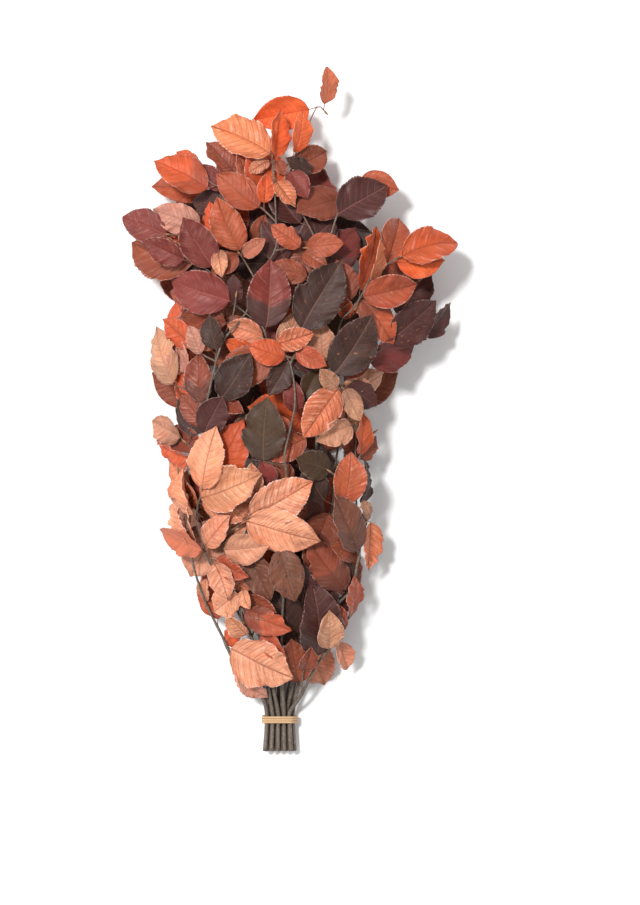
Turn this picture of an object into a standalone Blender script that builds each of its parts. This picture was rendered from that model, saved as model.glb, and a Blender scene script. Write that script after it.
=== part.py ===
"""Bunch of cut copper beech sprays, lying on a table and held by a rubber band round its stems.

Fifteen leafy stems run side by side through the band and fan out above it. Each stem, with its side
twigs and leaves, is one grown piece and one object. The bunch lies on its back: +Z is up from the
table, +Y runs from the cut ends to the leafy top, and the origin is under the middle of its box.
"""

import itertools
import math
import random

import bmesh
import bpy
from mathutils import Matrix, Vector
from mathutils.bvhtree import BVHTree

MM = 0.001
SEED = 41

# Real size: beech leaves are about 80 mm long and measure 70 photo pixels.
PIXEL = 80 * MM / 70
PHOTO_MIDDLE = (291, 410)

LEAF_THICK = 0.7 * MM
LEAF_BROAD = 0.64
BASE_POWER = 0.62
TIP_POWER = 0.74
WIDEST = BASE_POWER / (BASE_POWER + TIP_POWER)
OUTLINE_PEAK = WIDEST ** BASE_POWER * (1 - WIDEST) ** TIP_POWER
PETIOLE = 9 * MM
PETIOLE_HALF = 0.7 * MM
TIP_RISE = 7 * MM
RANK_STEP = 8 * MM
CLEAR = 0.9 * MM
LEAST_CLEAR = 0.35 * MM

STEM_RADIUS = 3.2 * MM
STEM_TIP_RADIUS = 1.3 * MM
TWIG_RADIUS = 1.4 * MM
TWIG_TIP_RADIUS = 0.9 * MM
STEM_STEP = 48 * MM
TWIG_STEP = 32 * MM
TWIG_DEPTH = 7 * MM

BAND_COLUMN = 279
BAND_ROW = 724
CUT_ROW = 756
CUT_SPREAD = 0.12
STEM_PITCH = 6.8 * MM
ROW_RISE = 5.9 * MM
BAND_WIDTH = 9 * MM
BAND_THICK = 2.2 * MM
BAND_GAP = 0.3 * MM
BAND_SEGMENTS = 20
WINDINGS = 3
STEM_SIDES = 5
FRONT_ROWS = 4
BACK_ROWS = 3
ROOT_DROP = 10 * MM
ROOT_RISE = 14 * MM

# The leafy bunch along the photo: row, left edge, right edge, height of its crown and of its flanks.
SHAPE = [
    (60, 300, 345, 58, 50),
    (110, 245, 325, 62, 45),
    (150, 160, 325, 74, 45),
    (200, 135, 348, 86, 52),
    (230, 124, 410, 92, 51),
    (250, 126, 458, 96, 50),
    (300, 160, 452, 104, 44),
    (350, 150, 422, 110, 36),
    (400, 160, 392, 113, 30),
    (450, 156, 380, 114, 26),
    (500, 164, 376, 112, 24),
    (550, 164, 380, 106, 24),
    (600, 198, 366, 94, 24),
    (650, 224, 354, 74, 24),
    (700, 236, 330, 42, 16),
    (730, 255, 300, 24, 12),
]

# Leaf: base column and row, tip column and row, rank from the front, colour, seen width over length.
# Side twig: its points, then its leaves. A stem's points give a share of the bunch's height as well.
SPRAYS = {
    "spray_left_arch": {
        "slot": (0, 2),
        "stem": [(262, 702, .65), (250, 689, .8), (237, 672, .9), (228, 654, .93), (221, 638, .95),
                 (212, 620, .97), (203, 600, .97), (195, 575, .97), (190, 550, .97), (186, 520, .95),
                 (182, 495, .9), (177, 470, .85)],
        "leaves": [(230, 651, 290, 681, 0, "peach", .78), (226, 647, 238, 631, 1, "orange", .8),
                   (240, 674, 266, 702, 1, "pink", .6), (233, 662, 256, 688, 1, "peach", .5),
                   (236, 670, 240, 700, 2, "peach", .35), (204, 601, 206, 580, 1, "peach", .6),
                   (191, 556, 165, 480, 1, "peach", .25), (189, 552, 175, 500, 1, "peach", .25)],
        "twigs": [],
    },
    "spray_peach": {
        "slot": (1, 2),
        "stem": [(262, 665, .72), (246, 630, .8), (226, 592, .84), (209, 562, .88), (203, 546, .9),
                 (197, 517, .92), (200, 498, .94), (215, 479, .93)],
        "leaves": [(203, 489, 217, 428, 0, "peach", .5), (201, 498, 260, 475, 0, "peach", .68),
                   (202, 503, 262, 501, 1, "peach", .6), (206, 487, 243, 422, 1, "orange", .6),
                   (205, 546, 229, 516, 1, "peach", .64), (202, 549, 164, 535, 1, "orange", .25),
                   (198, 503, 158, 447, 1, "orange", .3), (196, 510, 184, 458, 2, "red", .35),
                   (194, 515, 180, 470, 1, "peach", .3)],
        "twigs": [
            ([(203, 546), (222, 536), (241, 524)],
             [(247, 521, 318, 543, 0, "peach", .6), (250, 515, 311, 482, 1, "peach", .56),
              (224, 549, 268, 546, 1, "peach", .7), (257, 497, 252, 463, 2, "peach", .55)]),
            ([(209, 562), (214, 560), (222, 568)],
             [(214, 563, 228, 598, 0, "peach", .75), (217, 558, 247, 577, 1, "copper", .5),
              (224, 573, 248, 591, 2, "light", .45)]),
            ([(228, 596), (238, 602), (243, 622)],
             [(238, 594, 213, 613, 1, "peach", .78), (243, 590, 249, 609, 1, "peach", .7),
              (244, 613, 289, 632, 1, "copper", .5), (246, 636, 225, 614, 1, "tan", .7)]),
        ],
    },
    "spray_left_tall": {
        "slot": (2, 2),
        "stem": [(268, 668, .62), (258, 610, .66), (242, 550, .68), (224, 500, .7), (209, 460, .8),
                 (204, 425, .98), (210, 390, 1), (220, 350, 1), (228, 335, 1), (247, 312, 1),
                 (252, 290, 1), (255, 279, 1), (275, 251, 1), (276, 222, 1), (274, 180, .98),
                 (272, 158, .95)],
        "leaves": [(276, 156, 280, 110, 0, "orange", .42), (270, 153, 211, 122, 0, "light", .6),
                   (269, 160, 249, 172, 1, "light", .55), (277, 160, 285, 174, 1, "rust", .7),
                   (277, 181, 295, 206, 0, "light", .62), (246, 554, 270, 600, 1, "rust", .62),
                   (244, 598, 277, 618, 1, "orange", .5), (263, 632, 286, 660, 2, "copper", .6)],
        "twigs": [
            ([(275, 222), (262, 208), (250, 199), (235, 190), (214, 184), (204, 175)],
             [(264, 203, 266, 174, 0, "orange", .64), (259, 207, 218, 173, 1, "copper", .5),
              (252, 187, 235, 153, 2, "orange", .45), (240, 205, 187, 198, 2, "purple", .55),
              (235, 172, 206, 140, 2, "rust", .6), (222, 189, 201, 163, 1, "red", .6),
              (207, 188, 155, 161, 1, "orange", .62), (198, 169, 174, 147, 2, "orange", .6)]),
            ([(275, 251), (292, 248), (303, 248)],
             [(300, 247, 272, 226, 0, "copper", .62), (306, 248, 343, 244, 1, "orange", .68),
              (303, 253, 327, 269, 1, "rust", .55)]),
            ([(255, 279), (244, 260), (240, 254)],
             [(241, 250, 216, 199, 0, "copper", .6), (244, 257, 265, 240, 0, "copper", .6),
              (226, 246, 204, 200, 1, "orange", .4), (238, 256, 212, 272, 1, "rust", .66),
              (219, 250, 222, 277, 0, "peach", .5), (254, 240, 265, 215, 2, "rust", .64)]),
            ([(273, 168), (290, 161), (305, 130), (317, 104), (324, 107)],
             [(294, 151, 302, 111, 0, "orange", .45), (309, 106, 253, 118, 2, "orange", .6),
              (325, 101, 329, 65, 0, "orange", .4)]),
        ],
    },
    "spray_centre": {
        "slot": (3, 2),
        "stem": [(281, 655, .75), (285, 560, .78), (287, 500, .84), (286, 468, .97), (285, 453, 1),
                 (295, 405, 1), (292, 370, .98), (285, 354, .98)],
        "leaves": [(285, 358, 250, 346, 0, "orange", .72), (296, 351, 326, 366, 1, "copper", .58),
                   (283, 352, 297, 312, 2, "tan", .65), (288, 362, 270, 395, 1, "brown", .66),
                   (296, 412, 290, 379, 2, "red", .6), (290, 440, 272, 416, 1, "copper", .7),
                   (280, 549, 295, 600, 0, "brown", .68), (292, 562, 310, 604, 2, "purple", .6),
                   (306, 438, 266, 457, 1, "copper", .62), (264, 461, 268, 398, 1, "olive", .7),
                   (252, 459, 243, 412, 2, "olive", .6), (273, 489, 262, 461, 2, "red", .68),
                   (291, 483, 272, 460, 2, "rust", .68)],
        "twigs": [
            ([(285, 354), (275, 345), (265, 340)],
             [(277, 345, 313, 334, 0, "light", .62), (263, 338, 228, 325, 1, "peach", .62),
              (253, 352, 226, 341, 1, "orange", .55)]),
            ([(292, 364), (299, 347), (301, 338)],
             [(302, 330, 341, 264, 0, "brown", .63)]),
            ([(287, 356), (305, 361), (322, 369), (340, 386)],
             [(323, 362, 320, 322, 2, "tan", .7), (334, 374, 372, 317, 0, "brown", .68),
              (341, 374, 371, 362, 1, "rust", .6), (343, 386, 370, 383, 2, "tan", .5),
              (338, 389, 303, 437, 0, "light", .56), (342, 391, 327, 425, 1, "orange", .45),
              (345, 389, 360, 421, 0, "tan", .6), (337, 388, 320, 370, 1, "tan", .64),
              (346, 387, 377, 406, 1, "purple", .68), (318, 371, 303, 400, 3, "olive", .64),
              (317, 367, 290, 358, 3, "purple", .64)]),
        ],
    },
    "spray_right_low": {
        "slot": (4, 2),
        "stem": [(300, 700, .7), (318, 665, .85), (330, 650, .87), (342, 633, .87), (350, 616, .82)],
        "leaves": [(317, 657, 316, 586, 1, "purple", .62), (329, 650, 331, 614, 0, "peach", .72),
                   (345, 631, 328, 607, 1, "orange", .64), (338, 645, 347, 672, 1, "peach", .5),
                   (352, 617, 357, 576, 1, "pink", .3)],
        "twigs": [
            ([(302, 695), (302, 682), (303, 674)],
             [(299, 685, 292, 643, 1, "rust", .58), (303, 672, 311, 648, 1, "rust", .6)]),
        ],
    },
    "spray_second_left": {
        "slot": (0, 1),
        "stem": [(262, 655, .5), (248, 600, .52), (230, 540, .5), (216, 480, .58), (215, 430, .8),
                 (219, 395, .9), (216, 358, .92), (223, 338, .82), (233, 315, .9), (236, 298, .93)],
        "leaves": [(217, 350, 215, 315, 0, "brown", .72), (236, 303, 233, 275, 2, "purple", .62),
                   (222, 398, 250, 355, 0, "brown", .76), (226, 323, 181, 316, 2, "rust", .5),
                   (223, 399, 244, 413, 1, "rust", .6), (205, 434, 224, 397, 1, "purple", .74)],
        "twigs": [
            ([(215, 425), (198, 400), (184, 389), (172, 384)],
             [(172, 384, 151, 327, 0, "tan", .5), (184, 372, 170, 334, 1, "pink", .6),
              (201, 402, 198, 354, 1, "rust", .62), (190, 396, 186, 350, 2, "orange", .6),
              (203, 425, 181, 395, 2, "orange", .62)]),
            ([(217, 362), (205, 356), (195, 348)],
             [(192, 346, 163, 319, 1, "orange", .62), (201, 354, 189, 326, 1, "pink", .6),
              (212, 350, 196, 330, 2, "light", .55)]),
            ([(215, 472), (201, 455), (186, 443)],
             [(180, 437, 153, 420, 1, "tan", .72), (200, 441, 160, 441, 2, "rust", .55),
              (190, 459, 157, 445, 1, "orange", .45)]),
        ],
    },
    "spray_left_side": {
        "slot": (1, 1),
        "stem": [(272, 640, .5), (275, 560, .52), (279, 480, .55), (276, 420, .6), (271, 370, .72),
                 (264, 330, .93), (248, 315, .8), (228, 298, .84), (213, 275, .93), (198, 264, .97),
                 (186, 254, .97)],
        "leaves": [(266, 328, 270, 262, 1, "red", .67), (230, 301, 170, 281, 1, "red", .68),
                   (213, 267, 184, 219, 0, "red", .64), (184, 260, 145, 240, 0, "red", .62),
                   (192, 263, 124, 240, 2, "rust", .55), (203, 300, 167, 293, 2, "rust", .6)],
        "twigs": [
            ([(198, 264), (192, 246), (182, 236), (170, 234)],
             [(200, 225, 153, 208, 1, "pink", .62), (184, 244, 160, 218, 2, "orange", .62),
              (166, 235, 121, 216, 1, "red", .64)]),
        ],
    },
    "spray_right_upper": {
        "slot": (2, 1),
        "stem": [(296, 620, .5), (309, 520, .52), (318, 420, .56), (319, 350, .62), (323, 300, .72),
                 (328, 250, .86), (336, 218, .97), (344, 204, .93), (352, 191, .93)],
        "leaves": [(338, 214, 386, 186, 1, "purple", .76), (360, 178, 398, 188, 0, "tan", .72),
                   (334, 219, 300, 247, 2, "purple", .76)],
        "twigs": [
            ([(328, 258), (312, 232), (299, 205), (291, 178), (291, 165)],
             [(290, 171, 307, 197, 0, "red", .72), (311, 171, 287, 157, 1, "brown", .64),
              (293, 166, 326, 148, 2, "rust", .7), (300, 222, 270, 185, 3, "purple", .7),
              (309, 250, 277, 207, 3, "purple", .7), (286, 262, 262, 222, 3, "purple", .64),
              (308, 225, 303, 188, 3, "purple", .64)]),
            ([(323, 305), (314, 292), (310, 283)],
             [(307, 277, 268, 267, 1, "rust", .55)]),
            ([(321, 325), (335, 314), (346, 306)],
             [(349, 301, 338, 261, 1, "rust", .62), (350, 318, 338, 296, 2, "orange", .68)]),
        ],
    },
    "spray_right_main": {
        "slot": (3, 1),
        "stem": [(297, 668, .64), (307, 620, .58), (328, 540, .52), (343, 470, .52), (347, 420, .55), (344, 370, .6),
                 (338, 338, .75), (342, 320, .93), (350, 312, .97), (360, 298, .98), (374, 272, .98),
                 (388, 264, 1), (400, 257, 1)],
        "leaves": [(388, 264, 388, 213, 1, "copper", .54), (402, 257, 460, 238, 1, "orange", .5),
                   (397, 262, 444, 259, 0, "copper", .72), (360, 290, 383, 230, 0, "orange", .4),
                   (372, 282, 380, 240, 0, "light", .35), (363, 297, 416, 284, 0, "copper", .58),
                   (361, 301, 394, 343, 0, "copper", .56), (354, 312, 367, 300, 2, "tan", .64)],
        "twigs": [
            ([(345, 378), (368, 362), (388, 344), (416, 336)],
             [(369, 361, 420, 341, 1, "red", .64), (389, 342, 436, 300, 1, "purple", .64),
              (424, 335, 453, 301, 1, "purple", .55), (351, 390, 386, 374, 2, "tan", .7)]),
        ],
    },
    "spray_right_edge": {
        "slot": (4, 1),
        "stem": [(303, 670, .6), (318, 632, .62), (338, 605, .78), (352, 590, .9), (357, 566, .95),
                 (360, 550, .95), (358, 520, .9), (355, 480, .86), (356, 440, .9), (356, 424, .9)],
        "leaves": [(358, 551, 335, 496, 0, "brown", .6), (357, 557, 333, 547, 1, "orange", .62),
                   (346, 590, 314, 545, 1, "rust", .5), (351, 592, 338, 560, 2, "brown", .6),
                   (352, 594, 336, 613, 2, "purple", .64), (368, 521, 348, 522, 1, "tan", .6),
                   (370, 519, 364, 501, 1, "tan", .6), (371, 523, 370, 571, 0, "copper", .4),
                   (361, 455, 366, 415, 1, "orange", .4), (361, 459, 378, 437, 2, "rust", .45),
                   (362, 505, 370, 458, 2, "brown", .3), (357, 459, 345, 431, 2, "rust", .68),
                   (351, 425, 320, 442, 0, "tan", .7)],
        "twigs": [
            ([(357, 512), (349, 510), (343, 510)],
             [(343, 505, 352, 454, 0, "copper", .68)]),
            ([(355, 490), (342, 480), (332, 473)],
             [(330, 471, 296, 458, 1, "olive", .74), (324, 500, 305, 468, 2, "brown", .7)]),
        ],
    },
}

# Sprays behind the front ones: place in the band, share of the bunch's height, and the stem's points.
BACK_SPRAYS = {
    "spray_mid_left": ((1, 0), .45, [(262, 640), (240, 560), (222, 468), (209, 380), (206, 292), (224, 203)]),
    "spray_mid_right": ((3, 0), .45, [(300, 640), (325, 560), (335, 470), (350, 380), (375, 310), (405, 250)]),
    "spray_low_left": ((0, 0), .14, [(250, 640), (215, 560), (192, 470), (180, 380), (172, 290), (165, 225)]),
    "spray_low_centre": ((2, 0), .12, [(278, 640), (276, 560), (272, 470), (276, 370), (284, 270), (290, 170)]),
    "spray_low_right": ((4, 0), .14, [(305, 640), (335, 560), (350, 470), (362, 380), (395, 320), (420, 265)]),
}
BACK_COLOURS = ["purple", "brown", "rust", "red", "copper", "orange", "olive", "tan"]
BACK_RANK = 9
BARE_STEPS = 2
LOW_SHARE = .3
TWIG_SPACING = 92 * MM
TWIG_LENGTH = 60 * MM
BACK_LEAF = 68 * MM
TOP_ROW = 120
REST_LEAVES = [
    ("spray_low_left", (196, 400), (150, 372)),
    ("spray_low_left", (185, 300), (165, 252)),
    ("spray_low_right", (352, 400), (398, 372)),
    ("spray_low_right", (372, 300), (398, 250)),
    ("spray_low_centre", (274, 500), (300, 452)),
]

# Leaves added wherever the table shows through: probed rows and their colours, and the probes' pitch.
GAP_ROWS = [
    (range(180, 430, 14), ["red", "purple", "brown", "rust", "copper", "orange"]),
    (range(430, 680, 14), ["copper", "rust", "orange", "tan", "brown", "light"]),
]
GAP_RANK = 4
GAP_STEP = 14
GAP_EDGE = 20
GAP_HALF = 7 * MM
GAP_REACH = 40 * MM
GAP_SHARES = [.75, .6, .45, .3]
GAP_TRIES = 160

COLOURS = {
    "orange": (0.72, 0.14, 0.045),
    "light": (0.75, 0.26, 0.13),
    "copper": (0.55, 0.14, 0.06),
    "peach": (0.78, 0.36, 0.20),
    "rust": (0.31, 0.065, 0.032),
    "red": (0.26, 0.045, 0.04),
    "purple": (0.085, 0.03, 0.03),
    "brown": (0.10, 0.062, 0.045),
    "olive": (0.12, 0.085, 0.055),
    "tan": (0.54, 0.25, 0.13),
    "pink": (0.72, 0.36, 0.28),
}
BARK_COLOUR = (0.16, 0.12, 0.09)
RUBBER_COLOUR = (0.55, 0.36, 0.19)


def shape_at(row):
    """Left edge, right edge, crown height and flank height of the bunch at a photo row."""
    row = min(max(row, SHAPE[0][0]), SHAPE[-1][0])
    upper = max(i for i in range(len(SHAPE) - 1) if SHAPE[i][0] <= row)
    one, two = SHAPE[upper], SHAPE[upper + 1]
    share = (row - one[0]) / (two[0] - one[0])
    return [a + (b - a) * share for a, b in zip(one[1:], two[1:])]


def offset_at(column, row):
    """Where a column lies across the bunch: -1 at its left edge, 1 at its right."""
    left, right = shape_at(row)[:2]
    return (2 * column - left - right) / (right - left)


def front_at(x, y):
    """Height of the bunch's upper surface over a point of the table."""
    column = x / PIXEL + PHOTO_MIDDLE[0]
    row = PHOTO_MIDDLE[1] - y / PIXEL
    crown, flank = shape_at(row)[2:]
    return (flank + (crown - flank) * math.sqrt(max(0, 1 - offset_at(column, row) ** 2))) * MM


def spot(column, row, share=1.0, depth=0.0):
    """Point of the bunch at a photo pixel, at a share of its height and a depth below that."""
    x = (column - PHOTO_MIDDLE[0]) * PIXEL
    y = (PHOTO_MIDDLE[1] - row) * PIXEL
    return Vector((x, y, share * front_at(x, y) - depth))


def smooth_route(points, step):
    """Points about a step apart on a smooth curve through the given ones."""
    route = []
    for i in range(len(points) - 1):
        a, b = points[i], points[i + 1]
        before = points[i - 1] if i else a * 2 - b
        after = points[i + 2] if i + 2 < len(points) else b * 2 - a
        count = max(1, round((b - a).length / step))
        for k in range(count):
            t = k / count
            route.append(0.5 * (2 * a + (b - before) * t + (2 * before - 5 * a + 4 * b - after) * t ** 2
                                + (3 * a - before - 3 * b + after) * t ** 3))
    return route + [points[-1]]


def stick(route, start_radius, end_radius, sides):
    """Closed round stick along a route, as a bmesh: rings joined one to the next."""
    bm = bmesh.new()
    rings = []
    across = Vector((0, 0, 1))
    for i, point in enumerate(route):
        along = (route[min(i + 1, len(route) - 1)] - route[max(i - 1, 0)]).normalized()
        side = along.cross(across).normalized()
        across = side.cross(along)
        frame = Matrix((side, across, along)).transposed().to_4x4()
        frame.translation = point
        radius = start_radius + (end_radius - start_radius) * i / (len(route) - 1)
        ends = i in (0, len(route) - 1)
        ring = bmesh.ops.create_circle(bm, cap_ends=ends, segments=sides, radius=radius, matrix=frame)
        rings.append({edge for vert in ring["verts"] for edge in vert.link_edges})
    for one, two in zip(rings, rings[1:]):
        bmesh.ops.bridge_loops(bm, edges=list(one | two))
    bmesh.ops.recalc_face_normals(bm, faces=bm.faces)
    return bm


def extruded_verts(bm, faces):
    """Extrude faces in place and return the new points."""
    made = bmesh.ops.extrude_face_region(bm, geom=list(faces))["geom"]
    return [part for part in made if isinstance(part, bmesh.types.BMVert)]


class Leaf:
    """One blade: where it is held, how it points and how it is bent."""

    def __init__(self, spray, name, base, tip, rank, colour, seen):
        rng = random.Random(f"{SEED} {name}")
        self.spray, self.name, self.rank, self.colour = spray, name, rank, colour
        self.base = base
        span = tip - base
        flat = math.hypot(span.x, span.y)
        self.yaw = math.atan2(span.y, span.x)
        self.pitch = max(-0.7, min(0.7, math.atan2(span.z + TIP_RISE, flat)))
        self.length = flat / math.cos(self.pitch)
        self.broad = max(seen, LEAF_BROAD - .04) if seen >= .5 else LEAF_BROAD
        self.roll = self.lie(flat, seen) + rng.uniform(-.12, .12)
        self.fold = rng.uniform(.06, .24)
        self.arch = rng.uniform(-.02, .07)
        self.curl = rng.uniform(-.12, .05)
        self.twist = rng.uniform(-.25, .25)
        self.wave = rng.uniform(.012, .03)
        self.waves = rng.uniform(1.6, 2.6)
        self.phase = rng.uniform(0, math.tau)
        self.flat_lying = False
        self.rows = FRONT_ROWS if rank < 2 else BACK_ROWS

    def lie(self, flat, seen):
        """Roll that lays the blade along the bunch's surface, or turns it to look narrow."""
        ahead = Vector((math.cos(self.yaw), math.sin(self.yaw), 0))
        left = Vector((-ahead.y, ahead.x, 0))
        half = self.broad * flat / 2
        middle = self.base + ahead * flat / 2
        one, two = middle + left * half, middle - left * half
        slope = (front_at(one.x, one.y) - front_at(two.x, two.y)) / (2 * half)
        if seen < .5:
            return math.copysign(math.acos(seen / LEAF_BROAD), slope)
        return .8 * math.atan(slope)

    def point(self, s, t):
        """Point of the middle surface in the leaf's own frame: s from base to tip, t across."""
        rib = s ** 1.4
        edge = s ** .8
        x = rib + (edge - rib) * abs(t) ** 1.15
        outline = edge ** BASE_POWER * (1 - edge) ** TIP_POWER / OUTLINE_PEAK
        y = t * (self.broad / 2 * outline + PETIOLE_HALF / self.length * (1 - s) ** 4)
        if self.flat_lying:
            return Vector((x, y, 0)) * self.length
        z = self.arch * 4 * x * (1 - x) + self.curl * x ** 3 + self.fold * abs(y)
        ripple = math.tau * self.waves * s + self.phase + (1 if t > 0 else 0)
        z += self.wave * outline * t * t * math.sin(ripple)
        turn = self.twist * x
        y, z = y * math.cos(turn) - z * math.sin(turn), y * math.sin(turn) + z * math.cos(turn)
        return Vector((x, y, z)) * self.length

    def blade(self, thick):
        """The blade as a bmesh in its own frame, with a thickness and a pointed tip."""
        bm = bmesh.new()
        bmesh.ops.create_grid(bm, x_segments=self.rows, y_segments=2, size=1)
        for vert in bm.verts:
            s, t = (vert.co.x + 1) / 2, vert.co.y
            if s < 1e-6 and abs(t) < .5:
                t = 1
            vert.co = self.point(s, t)
        bmesh.ops.remove_doubles(bm, verts=bm.verts, dist=.02 * MM)
        bmesh.ops.triangulate(bm, faces=bm.faces)
        bm.normal_update()
        for vert in bm.verts:
            vert.co -= vert.normal * thick / 2
        for vert in extruded_verts(bm, bm.faces):
            vert.co += vert.normal * thick
        bmesh.ops.recalc_face_normals(bm, faces=bm.faces)
        return bm

    def pose(self, change=(0, 0, 0, 0)):
        """Matrix from the leaf's own frame to the bunch, with a change of lift, pitch, roll and turn."""
        lift, pitch, roll, turn = change
        place = Matrix.Translation(self.base + Vector((0, 0, lift)))
        yaw = Matrix.Rotation(self.yaw + turn, 4, "Z")
        tilt = Matrix.Rotation(-self.pitch - pitch, 4, "Y")
        return place @ yaw @ tilt @ Matrix.Rotation(self.roll + roll, 4, "X")


class Crowd:
    """Everything placed so far, for asking whether a new piece would touch it."""

    def __init__(self):
        self.pieces = []

    def add(self, spray, kind, bm):
        bmesh.ops.triangulate(bm, faces=bm.faces)
        points = [vert.co.copy() for vert in bm.verts]
        faces = [[vert.index for vert in face.verts] for face in bm.faces]
        middle = sum(points, Vector()) / len(points)
        reach = max((point - middle).length for point in points)
        self.pieces.append((spray, kind, points, faces, middle, reach))

    def near(self, middle, reach, keep):
        """One tree of all kept pieces within reach of a point."""
        points, faces = [], []
        for spray, kind, more, corners, place, size in self.pieces:
            if keep(spray, kind) and (place - middle).length < reach + size:
                start = len(points)
                points += more
                faces += [[start + corner for corner in face] for face in corners]
        return BVHTree.FromPolygons(points, faces) if faces else None


def touches(tree, points, faces):
    return bool(tree and tree.overlap(BVHTree.FromPolygons(points, faces)))


TWIG_LIFTS = [k * MM for k in (0, -3, 3, -6, 6, -10, 10, -15, 15)]
LIFTS = [k * MM for k in (0, -2, 2, -4, 4, -7, 7, -10, 10, -14, 14, -19, -25)]
PITCHES = [math.radians(k) for k in (0, -7, 7, -14, 14, -22, 22, 32)]
ROLLS = [math.radians(k) for k in (0, -9, 9, -18, 18, -30, 30)]
TURNS = [math.radians(k) for k in (0, -7, 7, -16, 16)]
MOST_TRIES = 2600


def change_cost(change):
    lift, pitch, roll, turn = change
    return (abs(lift) / (3 * MM) + abs(pitch) / math.radians(8) + abs(roll) / math.radians(10)
            + abs(turn) / math.radians(5))


CHANGES = sorted(itertools.product(LIFTS, PITCHES, ROLLS, TURNS), key=change_cost)[:MOST_TRIES]


def slot_place(column, row):
    """Middle of a stem inside the band: rows lie in each other's hollows."""
    middle = spot(BAND_COLUMN, BAND_ROW)
    across = (column - 2 + (.25 if row % 2 else -.25)) * STEM_PITCH
    return Vector((middle.x + across, middle.y, BAND_THICK + BAND_GAP + STEM_RADIUS + row * ROW_RISE))


class Spray:
    """One stem with its side twigs and leaves."""

    def __init__(self, name, slot, stem_points):
        self.name = name
        tied = slot_place(*slot)
        middle = spot(BAND_COLUMN, BAND_ROW)
        cut = Vector((tied.x + CUT_SPREAD * (tied.x - middle.x), spot(0, CUT_ROW).y, tied.z))
        straight = Vector((0, BAND_WIDTH, 0))
        self.points = [cut, tied - straight, tied + straight] + stem_points
        self.stem = smooth_route(self.points, STEM_STEP)
        self.twigs = []
        self.leaves = []

    def places(self):
        """Points all along the stem and the twigs, short of their ends."""
        lines = [self.stem] + [smooth_route(twig, TWIG_STEP) for twig in self.twigs]
        return [a.lerp(b, k / 10) for line in lines for a, b in zip(line, line[1:]) for k in range(10)]

    def wood_near(self, point):
        """Point of the stem or a twig that lies nearest to a point, seen from above."""
        return min(self.places(), key=lambda place: (place.xy - point.xy).length)

    def add_twig(self, points, crowd):
        """A side twig from the stem through points, bent up or down to pass clear of other wood."""
        points = [self.wood_near(points[0])] + points[1:]
        tree = crowd.near(points[-1], .2, lambda spray, kind: spray != self.name)
        for lift in TWIG_LIFTS:
            moved = [points[0]] + [p + Vector((0, 0, lift)) for p in points[1:]]
            route = smooth_route(moved, TWIG_STEP)
            wide = stick(route, TWIG_RADIUS + CLEAR, TWIG_TIP_RADIUS + CLEAR, 4)
            if lowest(wide) > 0 and not touches(tree, *soup(wide)):
                self.twigs.append(moved)
                crowd.add(self.name, "wood", stick(route, TWIG_RADIUS, TWIG_TIP_RADIUS, 4))
                return moved
        return None

    def add_leaf(self, base, tip, rank, colour, seen):
        leaf = Leaf(self.name, f"{self.name} {len(self.leaves)}", base, tip, rank, colour, seen)
        ahead = Vector((math.cos(leaf.yaw), math.sin(leaf.yaw), 0))
        leaf.root = self.wood_near(base - ahead * PETIOLE)
        leaf.base.z = min(max(leaf.base.z, leaf.root.z - ROOT_DROP), leaf.root.z + ROOT_RISE)
        self.leaves.append(leaf)
        return leaf


def soup(bm):
    """A bmesh's points and triangles as plain lists."""
    bmesh.ops.triangulate(bm, faces=bm.faces)
    return [vert.co.copy() for vert in bm.verts], [[v.index for v in face.verts] for face in bm.faces]


def lowest(bm):
    return min(vert.co.z for vert in bm.verts)


def settle(leaf, crowd, tries=MOST_TRIES):
    """Find the mildest change of a leaf's pose that keeps its blade and its stalk clear."""
    middle = leaf.pose() @ Vector((leaf.length / 2, 0, 0))
    reach = leaf.length / 2 + 30 * MM
    everything = crowd.near(middle, reach, lambda spray, kind: True)
    others = crowd.near(middle, reach, lambda spray, kind: spray != leaf.spray)
    for clear in (CLEAR, LEAST_CLEAR):
        points, faces = soup(leaf.blade(LEAF_THICK + 2 * clear))
        for change in CHANGES[:1 if leaf.flat_lying else tries]:
            pose = leaf.pose(change)
            moved = [pose @ point for point in points]
            if not leaf.flat_lying and min(point.z for point in moved) < 0:
                continue
            if touches(everything, moved, faces):
                continue
            stalk = stick([leaf.root, pose.translation], PETIOLE_HALF + clear, PETIOLE_HALF + clear, 4)
            if touches(others, *soup(stalk)):
                continue
            leaf.matrix = pose
            blade = leaf.blade(LEAF_THICK)
            blade.transform(pose)
            crowd.add(leaf.spray, "leaf", blade)
            crowd.add(leaf.spray, "stalk", stick([leaf.root, pose.translation], PETIOLE_HALF, PETIOLE_HALF, 4))
            return True
    return False


def bare_spray(name, slot, stem_points, crowd):
    """A spray that so far is only its stem."""
    spray = Spray(name, slot, stem_points)
    crowd.add(name, "wood", stick(spray.stem, STEM_RADIUS, STEM_TIP_RADIUS, STEM_SIDES))
    return spray


def fill_front(spray, crowd):
    """Twigs and leaves of a front spray, as its plan lists them."""
    plan = SPRAYS[spray.name]
    for points, leaves in plan["twigs"]:
        spray.add_twig([spot(*point, depth=TWIG_DEPTH) for point in points], crowd)
    for leaves in [plan["leaves"]] + [twig[1] for twig in plan["twigs"]]:
        for column, row, tip_column, tip_row, rank, colour, seen in leaves:
            depth = rank * RANK_STEP
            spray.add_leaf(spot(column, row, depth=depth), spot(tip_column, tip_row, depth=depth),
                           rank, colour, seen)


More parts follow.
